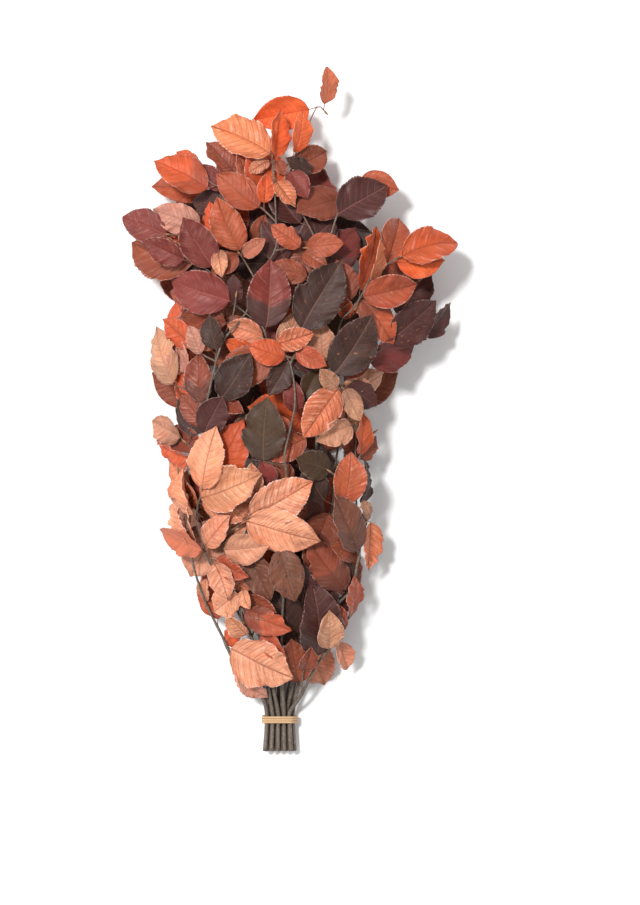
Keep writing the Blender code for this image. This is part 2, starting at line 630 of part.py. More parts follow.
def fill_back(spray, crowd):
    """Twigs and leaves of a hidden spray by rule: twigs and leaves alternate, left and right."""
    rng = random.Random(f"{SEED} {spray.name}")
    share = BACK_SPRAYS[spray.name][1]
    route = smooth_route(spray.points, TWIG_SPACING)
    for number, start in enumerate(route[BARE_STEPS:]):
        along = (route[min(BARE_STEPS + number + 1, len(route) - 1)] - route[BARE_STEPS + number - 1])
        heading = math.atan2(along.y, along.x) + (-1) ** number * rng.uniform(.5, .85)
        twig = [start]
        for k in range(1, 4):
            step = Vector((math.cos(heading), math.sin(heading), 0)) * TWIG_LENGTH / 3
            place = twig[-1] + step
            place.z = share * front_at(place.x, place.y) + rng.uniform(-3, 5) * MM
            twig.append(place)
            heading += rng.uniform(-.12, .12)
        twig = inside(twig[0], twig[-1]) and spray.add_twig(twig, crowd)
        if not twig:
            continue
        places = list(enumerate(twig[1:] + [twig[-1]]))
        for k, place in places[1 if share < LOW_SHARE else 0:]:
            turn = 0 if k == 3 else (-1) ** k * rng.uniform(.7, 1)
            ahead = Vector((math.cos(heading + turn), math.sin(heading + turn), 0))
            length = BACK_LEAF * rng.uniform(.8, 1.1)
            base = place + ahead * PETIOLE
            tip = base + ahead * length
            base.z = share * front_at(base.x, base.y)
            tip.z = share * front_at(tip.x, tip.y)
            colour = rng.choice(BACK_COLOURS)
            if inside(base, tip):
                spray.add_leaf(base, tip, BACK_RANK, colour, LEAF_BROAD)


def inside(base, tip):
    """Whether a leaf's tip and both its sides lie within the bunch's outline, seen from above."""
    middle = (base + tip) / 2
    side = Vector((base.y - tip.y, tip.x - base.x, 0)) * LEAF_BROAD / 2
    for point in (tip, middle + side, middle - side):
        row = PHOTO_MIDDLE[1] - point.y / PIXEL
        if row < TOP_ROW or abs(offset_at(point.x / PIXEL + PHOTO_MIDDLE[0], row)) > .95:
            return False
    return True


def gaps(crowd, rows):
    """Places within the bunch's outline where nothing hides the table."""
    for row in rows:
        left, right = shape_at(row)[:2]
        for column in range(round(left) + GAP_EDGE, round(right) - GAP_EDGE, GAP_STEP):
            place = spot(column, row)
            leaves = crowd.near(place, .2, lambda spray, kind: kind == "leaf")
            probes = [place + Vector((x, y, .1)) for x in (-GAP_HALF, GAP_HALF) for y in (-GAP_HALF, GAP_HALF)]
            if sum(leaves.ray_cast(probe, Vector((0, 0, -1)))[0] is None for probe in probes) > 1:
                yield place


def fill_gaps(sprays, crowd):
    """Cover the gaps with leaves, each on wood that lies about half a leaf from its gap."""
    rng = random.Random(f"{SEED} gaps")
    wood = [(place, spray) for spray in sprays for place in spray.places()]
    for rows, colours in GAP_ROWS:
        for gap in gaps(crowd, rows):
            for share in GAP_SHARES:
                place = Vector((gap.x, gap.y, gap.z * share))
                root, spray = min(wood, key=lambda pair: abs((pair[0] - place).length - GAP_REACH))
                ahead = Vector((place.x - root.x, place.y - root.y, 0)).normalized()
                base = root + ahead * PETIOLE
                tip = base + ahead * BACK_LEAF * rng.uniform(.9, 1.1)
                tip.z = share * front_at(tip.x, tip.y)
                colour = rng.choice(colours)
                if inside(base, tip):
                    leaf = spray.add_leaf(base, tip, GAP_RANK, colour, LEAF_BROAD)
                    if settle(leaf, crowd, GAP_TRIES):
                        break
                    spray.leaves.remove(leaf)


def rest_leaves(sprays):
    """Leaves that lie flat on the table round the bunch's weight."""
    for name, base, tip in REST_LEAVES:
        spray = next(spray for spray in sprays if spray.name == name)
        leaf = spray.add_leaf(spot(*base), spot(*tip), -1, "rust", LEAF_BROAD)
        leaf.base.z = LEAF_THICK / 2
        leaf.pitch = leaf.roll = 0
        leaf.length = (spot(*tip).xy - spot(*base).xy).length
        leaf.flat_lying = True


def lay_out():
    """All sprays with every leaf in its place; leaves with no room are left out."""
    crowd = Crowd()
    front = [bare_spray(name, plan["slot"], [spot(*point) for point in plan["stem"]], crowd)
             for name, plan in SPRAYS.items()]
    back = [bare_spray(name, slot, [spot(*point, share) for point in points], crowd)
            for name, (slot, share, points) in BACK_SPRAYS.items()]
    for spray in front:
        fill_front(spray, crowd)
    for spray in back:
        fill_back(spray, crowd)
    sprays = front + back
    rest_leaves(sprays)
    leaves = sorted((leaf for spray in sprays for leaf in spray.leaves), key=lambda leaf: leaf.rank)
    settled = {leaf.name for leaf in leaves if settle(leaf, crowd)}
    for spray in sprays:
        spray.leaves = [leaf for leaf in spray.leaves if leaf.name in settled]
    fill_gaps(sprays, crowd)
    return sprays


def leaf_body(leaf):
    """Blade with its stalk drawn out of the blade's foot into the twig."""
    bm = leaf.blade(LEAF_THICK)
    foot = min(bm.faces, key=lambda face: face.calc_center_median().length)
    root = leaf.matrix.inverted() @ leaf.root
    across = (Vector((0, 1, 0)) - root * root.y / root.length_squared).normalized()
    upward = across.cross(root).normalized()
    ends = extruded_verts(bm, [foot])
    bmesh.ops.delete(bm, geom=[foot], context="FACES_ONLY")
    for vert in ends:
        side, lift = (math.copysign(PETIOLE_HALF, value) for value in (vert.co.y, vert.co.z))
        vert.co = root + across * side + upward * lift
    bmesh.ops.recalc_face_normals(bm, faces=bm.faces)
    bm.transform(leaf.matrix)
    return bm


def material(name, colour, roughness):
    made = bpy.data.materials.get(name) or bpy.data.materials.new(name)
    made.use_nodes = True
    shader = made.node_tree.nodes["Principled BSDF"]
    shader.inputs["Base Color"].default_value = (*colour, 1)
    shader.inputs["Roughness"].default_value = roughness
    return made


def to_object(name, bm, collection, finish):
    mesh = bpy.data.meshes.new(name)
    bm.to_mesh(mesh)
    bm.free()
    mesh.materials.append(finish)
    piece = bpy.data.objects.new(name, mesh)
    collection.objects.link(piece)
    return piece


def drop_scraps(mesh):
    """Keep only the largest connected body of a mesh."""
    bm = bmesh.new()
    bm.from_mesh(mesh)
    bodies, left = [], set(bm.verts)
    while left:
        body, edge_of_body = set(), {left.pop()}
        while edge_of_body:
            body |= edge_of_body
            edge_of_body = {edge.other_vert(vert) for vert in edge_of_body
                            for edge in vert.link_edges} - body
        left -= body
        bodies.append(body)
    scraps = set().union(*sorted(bodies, key=len)[:-1])
    bmesh.ops.delete(bm, geom=list(scraps), context="VERTS")
    bm.to_mesh(mesh)
    bm.free()


def grow(spray):
    """One object of a spray: its stem, joined with its twigs and leaves by one Boolean union."""
    scene = bpy.context.scene
    bark = material("bark", BARK_COLOUR, .8)
    stem = to_object(spray.name, stick(spray.stem, STEM_RADIUS, STEM_TIP_RADIUS, STEM_SIDES),
                     scene.collection, bark)
    parts = bpy.data.collections.new(spray.name + " parts")
    scene.collection.children.link(parts)
    for twig in spray.twigs:
        route = smooth_route(twig, TWIG_STEP)
        to_object("twig", stick(route, TWIG_RADIUS, TWIG_TIP_RADIUS, 4), parts, bark)
    for leaf in spray.leaves:
        to_object("leaf", leaf_body(leaf), parts, material(leaf.colour, COLOURS[leaf.colour], .45))
    union = stem.modifiers.new("leaves and twigs", "BOOLEAN")
    union.operation = "UNION"
    union.operand_type = "COLLECTION"
    union.collection = parts
    union.solver = "MANIFOLD"
    union.material_mode = "TRANSFER"
    stem.data = bpy.data.meshes.new_from_object(
        stem.evaluated_get(bpy.context.evaluated_depsgraph_get()))
    stem.modifiers.clear()
    drop_scraps(stem.data)
    for part in list(parts.objects):
        bpy.data.objects.remove(part)
    bpy.data.collections.remove(parts)
    return stem


def band_stations():
    """Points round the tied stems where a stretched band runs, each with its outward direction."""
    outermost = [slot_place(column, row) for column in (0, 4) for row in range(3)]
    for k in range(BAND_SEGMENTS):
        angle = math.tau * (k + .5) / BAND_SEGMENTS
        out = Vector((math.cos(angle), 0, math.sin(angle)))
        stem = max(outermost, key=out.dot)
        yield stem + out * (STEM_RADIUS + BAND_GAP), out


def rubber_band():
    """The band: one closed ring whose outer side has a ridge for each winding."""
    bm = bmesh.new()
    profile = [(-.5, 0), (-.5, .6)]
    for k in range(WINDINGS):
        ridge = (k + .5) / WINDINGS - .5
        profile += [(ridge, 1), (ridge + .5 / WINDINGS, .6)]
    profile.append((.5, 0))
    rings = []
    for place, out in band_stations():
        ring = [bm.verts.new(place + Vector((0, along * BAND_WIDTH, 0)) + out * outset * BAND_THICK)
                for along, outset in profile]
        rings.append([bm.edges.new(pair) for pair in zip(ring, ring[1:] + ring[:1])])
    for one, two in zip(rings, rings[1:] + rings[:1]):
        bmesh.ops.bridge_loops(bm, edges=one + two)
    bmesh.ops.recalc_face_normals(bm, faces=bm.faces)
    return to_object("rubber_band", bm, bpy.context.scene.collection,
                     material("rubber", RUBBER_COLOUR, .6))


def main():
    for old in list(bpy.data.objects):
        bpy.data.objects.remove(old)
    sprays = lay_out()
    pieces = [grow(spray) for spray in sprays] + [rubber_band()]
    corners = [vert.co for piece in pieces for vert in piece.data.vertices]
    low = Vector([min(corner[k] for corner in corners) for k in range(3)])
    high = Vector([max(corner[k] for corner in corners) for k in range(3)])
    shift = Vector((-(low.x + high.x) / 2, -(low.y + high.y) / 2, -low.z))
    for piece in pieces:
        piece.data.transform(Matrix.Translation(shift))
    print(sum(len(spray.leaves) for spray in sprays), "leaves, size in mm", [round(v / MM) for v in high - low])


main()
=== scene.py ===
# %% [markdown]
# # A bunch of cut copper beech, lying on a table
#
# Preserved beech is sold as a bunch of long leafy stems, held together near the cut ends by a rubber band.
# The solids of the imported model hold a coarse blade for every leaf. Here each spray is modelled again, finer,
# in the same places: pleated, toothed leaves on round twigs with knots and buds.

import itertools
import math
import random

import bmesh
import bpy
from mathutils import Color, Matrix, Vector, noise
from mathutils.bvhtree import BVHTree


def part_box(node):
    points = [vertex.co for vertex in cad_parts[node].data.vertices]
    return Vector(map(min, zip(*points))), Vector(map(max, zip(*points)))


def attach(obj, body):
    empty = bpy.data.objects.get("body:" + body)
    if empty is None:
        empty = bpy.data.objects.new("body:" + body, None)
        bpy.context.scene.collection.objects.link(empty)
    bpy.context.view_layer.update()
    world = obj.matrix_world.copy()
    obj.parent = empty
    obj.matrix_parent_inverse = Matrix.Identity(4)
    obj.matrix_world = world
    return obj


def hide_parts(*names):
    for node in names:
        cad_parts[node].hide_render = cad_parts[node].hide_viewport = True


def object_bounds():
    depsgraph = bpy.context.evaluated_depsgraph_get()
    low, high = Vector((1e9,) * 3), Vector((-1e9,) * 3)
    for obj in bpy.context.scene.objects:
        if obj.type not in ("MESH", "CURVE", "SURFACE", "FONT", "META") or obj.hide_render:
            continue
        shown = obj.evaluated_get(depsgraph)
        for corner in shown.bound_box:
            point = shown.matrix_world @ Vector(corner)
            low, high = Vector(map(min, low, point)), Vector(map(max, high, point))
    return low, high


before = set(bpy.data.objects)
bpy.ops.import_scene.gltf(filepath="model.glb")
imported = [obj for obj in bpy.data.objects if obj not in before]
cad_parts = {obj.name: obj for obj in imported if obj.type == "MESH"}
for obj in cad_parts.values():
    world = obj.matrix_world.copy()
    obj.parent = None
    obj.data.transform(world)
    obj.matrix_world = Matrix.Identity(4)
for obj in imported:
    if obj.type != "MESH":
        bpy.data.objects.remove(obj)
cad_box = [list(corner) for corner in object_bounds()]
print("nodes:", len(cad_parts), "box:", cad_box)

# %% [markdown]
# ## From the photograph to the table
#
# The leaves are placed by the photograph's pixels. A large leaf there measures 70 pixels from foot to tip,
# and a large beech leaf is about 80 mm long, so a pixel is 1.14 mm. The bunch is a low dome: each row of
# the photograph gives its left and right edge and how high it is in the middle and at its flanks.

# %% Scale and dome
MM = 0.001
SEED = 41
# Real size: beech leaves are about 80 mm long and measure 70 photo pixels.
PIXEL = 80 * MM / 70
PHOTO_MIDDLE = (291, 410)
# The leafy bunch along the photo: row, left edge, right edge, height of its crown and of its flanks.
SHAPE = [
    (60, 300, 345, 58, 50),
    (110, 245, 325, 62, 45),
    (150, 160, 325, 74, 45),
    (200, 135, 348, 86, 52),
    (230, 124, 410, 92, 51),
    (250, 126, 458, 96, 50),
    (300, 160, 452, 104, 44),
    (350, 150, 422, 110, 36),
    (400, 160, 392, 113, 30),
    (450, 156, 380, 114, 26),
    (500, 164, 376, 112, 24),
    (550, 164, 380, 106, 24),
    (600, 198, 366, 94, 24),
    (650, 224, 354, 74, 24),
    (700, 236, 330, 42, 16),
    (730, 255, 300, 24, 12),
]


def shape_at(row):
    """Left edge, right edge, crown height and flank height of the bunch at a photo row."""
    row = min(max(row, SHAPE[0][0]), SHAPE[-1][0])
    upper = max(i for i in range(len(SHAPE) - 1) if SHAPE[i][0] <= row)
    one, two = SHAPE[upper], SHAPE[upper + 1]
    share = (row - one[0]) / (two[0] - one[0])
    return [a + (b - a) * share for a, b in zip(one[1:], two[1:])]


def offset_at(column, row):
    """Where a column lies across the bunch: -1 at its left edge, 1 at its right."""
    left, right = shape_at(row)[:2]
    return (2 * column - left - right) / (right - left)


def front_at(x, y):
    """Height of the bunch's upper surface over a point of the table."""
    column = x / PIXEL + PHOTO_MIDDLE[0]
    row = PHOTO_MIDDLE[1] - y / PIXEL
    crown, flank = shape_at(row)[2:]
    return (flank + (crown - flank) * math.sqrt(max(0, 1 - offset_at(column, row) ** 2))) * MM


def spot(column, row, share=1.0, depth=0.0):
    """Point of the bunch at a photo pixel, at a share of its height and a depth below that."""
    x = (column - PHOTO_MIDDLE[0]) * PIXEL
    y = (PHOTO_MIDDLE[1] - row) * PIXEL
    return Vector((x, y, share * front_at(x, y) - depth))


print("a leaf in the middle lies", round(spot(285, 450).z / MM), "mm above the table")

# %% [markdown]
# ## Where every spray runs
#
# A spray has one stem, some side twigs, and leaves in two rows along both. The ten that the photograph shows
# are written down in its columns and rows. A leaf that looks narrow there was seen from its edge, and is
# turned. The five sprays behind are given by their stems alone, and grow by a rule.

# %% Plans of the sprays
# A spray's name comes with its place in the band. Stem: column, row and share of the bunch's height of each
# point, and "on" goes on with it. Twig: columns and rows. Leaf, of the stem or twig above it: column and row
# of its foot and of its tip, rank from the front, colour, seen width over length.
PLAN_TABLE = """
spray_left_arch 0 2
  stem 262 702 .65, 250 689 .8, 237 672 .9, 228 654 .93, 221 638 .95, 212 620 .97, 203 600 .97, 195 575 .97
  on 190 550 .97, 186 520 .95, 182 495 .9, 177 470 .85
  leaf 230 651 290 681 0 peach .78, 226 647 238 631 1 orange .8, 240 674 266 702 1 pink .6
  leaf 233 662 256 688 1 peach .5, 236 670 240 700 2 peach .35, 204 601 206 580 1 peach .6
  leaf 191 556 165 480 1 peach .25, 189 552 175 500 1 peach .25
spray_peach 1 2
  stem 262 665 .72, 246 630 .8, 226 592 .84, 209 562 .88, 203 546 .9, 197 517 .92, 200 498 .94, 215 479 .93
  leaf 203 489 217 428 0 peach .5, 201 498 260 475 0 peach .68, 202 503 262 501 1 peach .6
  leaf 206 487 243 422 1 orange .6, 205 546 229 516 1 peach .64, 202 549 164 535 1 orange .25
  leaf 198 503 158 447 1 orange .3, 196 510 184 458 2 red .35, 194 515 180 470 1 peach .3
  twig 203 546, 222 536, 241 524
  leaf 247 521 318 543 0 peach .6, 250 515 311 482 1 peach .56, 224 549 268 546 1 peach .7
  leaf 257 497 252 463 2 peach .55
  twig 209 562, 214 560, 222 568
  leaf 214 563 228 598 0 peach .75, 217 558 247 577 1 copper .5, 224 573 248 591 2 light .45
  twig 228 596, 238 602, 243 622
  leaf 238 594 213 613 1 peach .78, 243 590 249 609 1 peach .7, 244 613 289 632 1 copper .5
  leaf 246 636 225 614 1 tan .7
spray_left_tall 2 2
  stem 268 668 .62, 258 610 .66, 242 550 .68, 224 500 .7, 209 460 .8, 204 425 .98, 210 390 1, 220 350 1
  on 228 335 1, 247 312 1, 252 290 1, 255 279 1, 275 251 1, 276 222 1, 274 180 .98, 272 158 .95
  leaf 276 156 280 110 0 orange .42, 270 153 211 122 0 light .6, 269 160 249 172 1 light .55
  leaf 277 160 285 174 1 rust .7, 277 181 295 206 0 light .62, 246 554 270 600 1 rust .62
  leaf 244 598 277 618 1 orange .5, 263 632 286 660 2 copper .6
  twig 275 222, 262 208, 250 199, 235 190, 214 184, 204 175
  leaf 264 203 266 174 0 orange .64, 259 207 218 173 1 copper .5, 252 187 235 153 2 orange .45
  leaf 240 205 187 198 2 purple .55, 235 172 206 140 2 rust .6, 222 189 201 163 1 red .6
  leaf 207 188 155 161 1 orange .62, 198 169 174 147 2 orange .6
  twig 275 251, 292 248, 303 248
  leaf 300 247 272 226 0 copper .62, 306 248 343 244 1 orange .68, 303 253 327 269 1 rust .55
  twig 255 279, 244 260, 240 254
  leaf 241 250 216 199 0 copper .6, 244 257 265 240 0 copper .6, 226 246 204 200 1 orange .4
  leaf 238 256 212 272 1 rust .66, 219 250 222 277 0 peach .5, 254 240 265 215 2 rust .64
  twig 273 168, 290 161, 305 130, 317 104, 324 107
  leaf 294 151 302 111 0 orange .45, 309 106 253 118 2 orange .6, 325 101 329 65 0 orange .4
spray_centre 3 2
  stem 281 655 .75, 285 560 .78, 287 500 .84, 286 468 .97, 285 453 1, 295 405 1, 292 370 .98, 285 354 .98
  leaf 285 358 250 346 0 orange .72, 296 351 326 366 1 copper .58, 283 352 297 312 2 tan .65
  leaf 288 362 270 395 1 brown .66, 296 412 290 379 2 red .6, 290 440 272 416 1 copper .7
  leaf 280 549 295 600 0 brown .68, 292 562 310 604 2 purple .6, 306 438 266 457 1 copper .62
  leaf 264 461 268 398 1 olive .7, 252 459 243 412 2 olive .6, 273 489 262 461 2 red .68
  leaf 291 483 272 460 2 rust .68
  twig 285 354, 275 345, 265 340
  leaf 277 345 313 334 0 light .62, 263 338 228 325 1 peach .62, 253 352 226 341 1 orange .55
  twig 292 364, 299 347, 301 338
  leaf 302 330 341 264 0 brown .63
  twig 287 356, 305 361, 322 369, 340 386
  leaf 323 362 320 322 2 tan .7, 334 374 372 317 0 brown .68, 341 374 371 362 1 rust .6
  leaf 343 386 370 383 2 tan .5, 338 389 303 437 0 light .56, 342 391 327 425 1 orange .45
  leaf 345 389 360 421 0 tan .6, 337 388 320 370 1 tan .64, 346 387 377 406 1 purple .68
  leaf 318 371 303 400 3 olive .64, 317 367 290 358 3 purple .64
spray_right_low 4 2
  stem 300 700 .7, 318 665 .85, 330 650 .87, 342 633 .87, 350 616 .82
  leaf 317 657 316 586 1 purple .62, 329 650 331 614 0 peach .72, 345 631 328 607 1 orange .64
  leaf 338 645 347 672 1 peach .5, 352 617 357 576 1 pink .3
  twig 302 695, 302 682, 303 674
  leaf 299 685 292 643 1 rust .58, 303 672 311 648 1 rust .6
spray_second_left 0 1
  stem 262 655 .5, 248 600 .52, 230 540 .5, 216 480 .58, 215 430 .8, 219 395 .9, 216 358 .92, 223 338 .82
  on 233 315 .9, 236 298 .93
  leaf 217 350 215 315 0 brown .72, 236 303 233 275 2 purple .62, 222 398 250 355 0 brown .76
  leaf 226 323 181 316 2 rust .5, 223 399 244 413 1 rust .6, 205 434 224 397 1 purple .74
  twig 215 425, 198 400, 184 389, 172 384
  leaf 172 384 151 327 0 tan .5, 184 372 170 334 1 pink .6, 201 402 198 354 1 rust .62
  leaf 190 396 186 350 2 orange .6, 203 425 181 395 2 orange .62
  twig 217 362, 205 356, 195 348
  leaf 192 346 163 319 1 orange .62, 201 354 189 326 1 pink .6, 212 350 196 330 2 light .55
  twig 215 472, 201 455, 186 443
  leaf 180 437 153 420 1 tan .72, 200 441 160 441 2 rust .55, 190 459 157 445 1 orange .45
spray_left_side 1 1
  stem 272 640 .5, 275 560 .52, 279 480 .55, 276 420 .6, 271 370 .72, 264 330 .93, 248 315 .8, 228 298 .84
  on 213 275 .93, 198 264 .97, 186 254 .97
  leaf 266 328 270 262 1 red .67, 230 301 170 281 1 red .68, 213 267 184 219 0 red .64
  leaf 184 260 145 240 0 red .62, 192 263 124 240 2 rust .55, 203 300 167 293 2 rust .6
  twig 198 264, 192 246, 182 236, 170 234
  leaf 200 225 153 208 1 pink .62, 184 244 160 218 2 orange .62, 166 235 121 216 1 red .64
spray_right_upper 2 1
  stem 296 620 .5, 309 520 .52, 318 420 .56, 319 350 .62, 323 300 .72, 328 250 .86, 336 218 .97, 344 204 .93
  on 352 191 .93
  leaf 338 214 386 186 1 purple .76, 360 178 398 188 0 tan .72, 334 219 300 247 2 purple .76
  twig 328 258, 312 232, 299 205, 291 178, 291 165
  leaf 290 171 307 197 0 red .72, 311 171 287 157 1 brown .64, 293 166 326 148 2 rust .7
  leaf 300 222 270 185 3 purple .7, 309 250 277 207 3 purple .7, 286 262 262 222 3 purple .64
  leaf 308 225 303 188 3 purple .64
  twig 323 305, 314 292, 310 283
  leaf 307 277 268 267 1 rust .55
  twig 321 325, 335 314, 346 306
  leaf 349 301 338 261 1 rust .62, 350 318 338 296 2 orange .68
spray_right_main 3 1
  stem 297 668 .64, 307 620 .58, 328 540 .52, 343 470 .52, 347 420 .55, 344 370 .6, 338 338 .75, 342 320 .93
  on 350 312 .97, 360 298 .98, 374 272 .98, 388 264 1, 400 257 1
  leaf 388 264 388 213 1 copper .54, 402 257 460 238 1 orange .5, 397 262 444 259 0 copper .72
  leaf 360 290 383 230 0 orange .4, 372 282 380 240 0 light .35, 363 297 416 284 0 copper .58
  leaf 361 301 394 343 0 copper .56, 354 312 367 300 2 tan .64
  twig 345 378, 368 362, 388 344, 416 336
  leaf 369 361 420 341 1 red .64, 389 342 436 300 1 purple .64, 424 335 453 301 1 purple .55
  leaf 351 390 386 374 2 tan .7
spray_right_edge 4 1
  stem 303 670 .6, 318 632 .62, 338 605 .78, 352 590 .9, 357 566 .95, 360 550 .95, 358 520 .9, 355 480 .86
  on 356 440 .9, 356 424 .9
  leaf 358 551 335 496 0 brown .6, 357 557 333 547 1 orange .62, 346 590 314 545 1 rust .5
  leaf 351 592 338 560 2 brown .6, 352 594 336 613 2 purple .64, 368 521 348 522 1 tan .6
  leaf 370 519 364 501 1 tan .6, 371 523 370 571 0 copper .4, 361 455 366 415 1 orange .4
  leaf 361 459 378 437 2 rust .45, 362 505 370 458 2 brown .3, 357 459 345 431 2 rust .68
  leaf 351 425 320 442 0 tan .7
  twig 357 512, 349 510, 343 510
  leaf 343 505 352 454 0 copper .68
  twig 355 490, 342 480, 332 473
  leaf 330 471 296 458 1 olive .74, 324 500 305 468 2 brown .7
spray_mid_left 1 0
  stem 262 640 .45, 240 560 .45, 222 468 .45, 209 380 .45, 206 292 .45, 224 203 .45
spray_mid_right 3 0
  stem 300 640 .45, 325 560 .45, 335 470 .45, 350 380 .45, 375 310 .45, 405 250 .45
spray_low_left 0 0
  stem 250 640 .14, 215 560 .14, 192 470 .14, 180 380 .14, 172 290 .14, 165 225 .14
spray_low_centre 2 0
  stem 278 640 .12, 276 560 .12, 272 470 .12, 276 370 .12, 284 270 .12, 290 170 .12
spray_low_right 4 0
  stem 305 640 .14, 335 560 .14, 350 470 .14, 362 380 .14, 395 320 .14, 420 265 .14
"""


def read_plans(table):
    """Place in the band and branches of every spray. A branch is its points and leaves, the stem first."""
    plans = {}
    for line in table.strip().splitlines():
        word, rest = line.split(maxsplit=1)
        items = [item.split() for item in rest.split(",")]
        if word == "leaf":
            branches[-1][1].extend((*map(float, item[:4]), int(item[4]), item[5], float(item[6]))
                                   for item in items)
        elif word in ("stem", "on", "twig"):
            points = [tuple(map(float, item)) for item in items]
            if word == "on":
                branches[-1][0].extend(points)
            else:
                branches.append((points, []))
        else:
            branches = []
            plans[word] = tuple(map(int, items[0])), branches
    return plans


PLANS = read_plans(PLAN_TABLE)
HIDDEN_SPRAYS = [name for name, (slot, branches) in PLANS.items() if not branches[0][1]]
BACK_COLOURS = ["purple", "brown", "rust", "red", "copper", "orange", "olive", "tan"]
BACK_RANK = 9
BARE_STEPS = 2
LOW_SHARE = .3
TWIG_SPACING = 92 * MM
TWIG_LENGTH = 60 * MM
BACK_LEAF = 68 * MM
TOP_ROW = 120
REST_LEAVES = [
    ("spray_low_left", (196, 400), (150, 372)),
    ("spray_low_left", (185, 300), (165, 252)),
    ("spray_low_right", (352, 400), (398, 372)),
    ("spray_low_right", (372, 300), (398, 250)),
    ("spray_low_centre", (274, 500), (300, 452)),
]
print(len(PLANS) - len(HIDDEN_SPRAYS), "sprays in front and", len(HIDDEN_SPRAYS), "behind")

# %% [markdown]
# ## Twigs
#
# A twig is a thin round stick that bends a little at each bud. It could be a curve object with a bevel, but
# rings of points joined by bridge_loops stay a plain mesh, whose rings can swell at a knot or a bud. The same
# sticks, made thicker, test whether a twig would touch its neighbours.

# %% Routes and sticks
STEM_RADIUS = 3.2 * MM
STEM_TIP_RADIUS = 1.3 * MM
TWIG_RADIUS = 1.4 * MM
TWIG_TIP_RADIUS = 0.9 * MM
STEM_STEP = 48 * MM
TWIG_STEP = 32 * MM
TWIG_DEPTH = 7 * MM
STEM_SIDES = 5
# Sides of the sticks that only stand for the room that they take.
ROUGH_SIDES = 4


def smooth_route(points, step):
    """Points about a step apart on a smooth curve through the given ones."""
    route = []
    for i in range(len(points) - 1):
        a, b = points[i], points[i + 1]
        before = points[i - 1] if i else a * 2 - b
        after = points[i + 2] if i + 2 < len(points) else b * 2 - a
        count = max(1, round((b - a).length / step))
        for k in range(count):
            t = k / count
            route.append(0.5 * (2 * a + (b - before) * t + (2 * before - 5 * a + 4 * b - after) * t ** 2
                                + (3 * a - before - 3 * b + after) * t ** 3))
    return route + [points[-1]]


def stick(route, start_radius, end_radius, sides, swell=None):
    """Closed round stick along a route; swell gives each ring's thickness a factor."""
    bm = bmesh.new()
    along_value = bm.verts.layers.float.new("along")
    round_value = bm.verts.layers.float.new("across")
    rings = []
    across = Vector((0, 0, 1))
    for i, point in enumerate(route):
        along = (route[min(i + 1, len(route) - 1)] - route[max(i - 1, 0)]).normalized()
        side = along.cross(across).normalized()
        across = side.cross(along)
        place = Matrix((side, across, along)).transposed().to_4x4()
        place.translation = point
        radius = start_radius + (end_radius - start_radius) * i / (len(route) - 1)
        radius *= swell[i] if swell else 1
        ends = i in (0, len(route) - 1)
        ring = bmesh.ops.create_circle(bm, cap_ends=ends, segments=sides, radius=radius, matrix=place)
        for k, vert in enumerate(ring["verts"]):
            vert[along_value], vert[round_value] = i / (len(route) - 1), k / sides
        rings.append({edge for vert in ring["verts"] for edge in vert.link_edges})
    for one, two in zip(rings, rings[1:]):
        bmesh.ops.bridge_loops(bm, edges=list(one | two))
    bmesh.ops.recalc_face_normals(bm, faces=bm.faces)
    return bm


# %% [markdown]
# ## The blade of a beech leaf
#
# A beech leaf is a broad oval with a short point, widest near its middle. Its surface is written as a formula
# of two numbers: s runs from foot to tip and t from one edge to the other. Lines of equal s lean forward like
# the side veins, so that a plain grid of points already follows the veins.

# %% Leaf form
LEAF_THICK = 0.7 * MM
LEAF_BROAD = 0.64
BASE_POWER = 0.62
TIP_POWER = 0.74
WIDEST = BASE_POWER / (BASE_POWER + TIP_POWER)
OUTLINE_PEAK = WIDEST ** BASE_POWER * (1 - WIDEST) ** TIP_POWER
PETIOLE = 9 * MM
PETIOLE_HALF = 0.7 * MM
TIP_RISE = 7 * MM
MOST_PITCH = .7
# A leaf that looks narrower than this was seen from its edge.
EDGE_ON = .5
NARROWEST = LEAF_BROAD - .04
FRONT_ROWS = 4
BACK_ROWS = 3
# How far each habit of a smooth blade may stray.
BLADE_RANGES = {"fold": (.06, .24), "arch": (-.02, .07), "curl": (-.12, .05), "twist": (-.25, .25),
                "wave": (.012, .03), "waves": (1.6, 2.6), "phase": (0, math.tau)}


def extruded_verts(bm, faces):
    """Extrude faces in place and return the new points."""
    made = bmesh.ops.extrude_face_region(bm, geom=list(faces))["geom"]
    return [part for part in made if isinstance(part, bmesh.types.BMVert)]


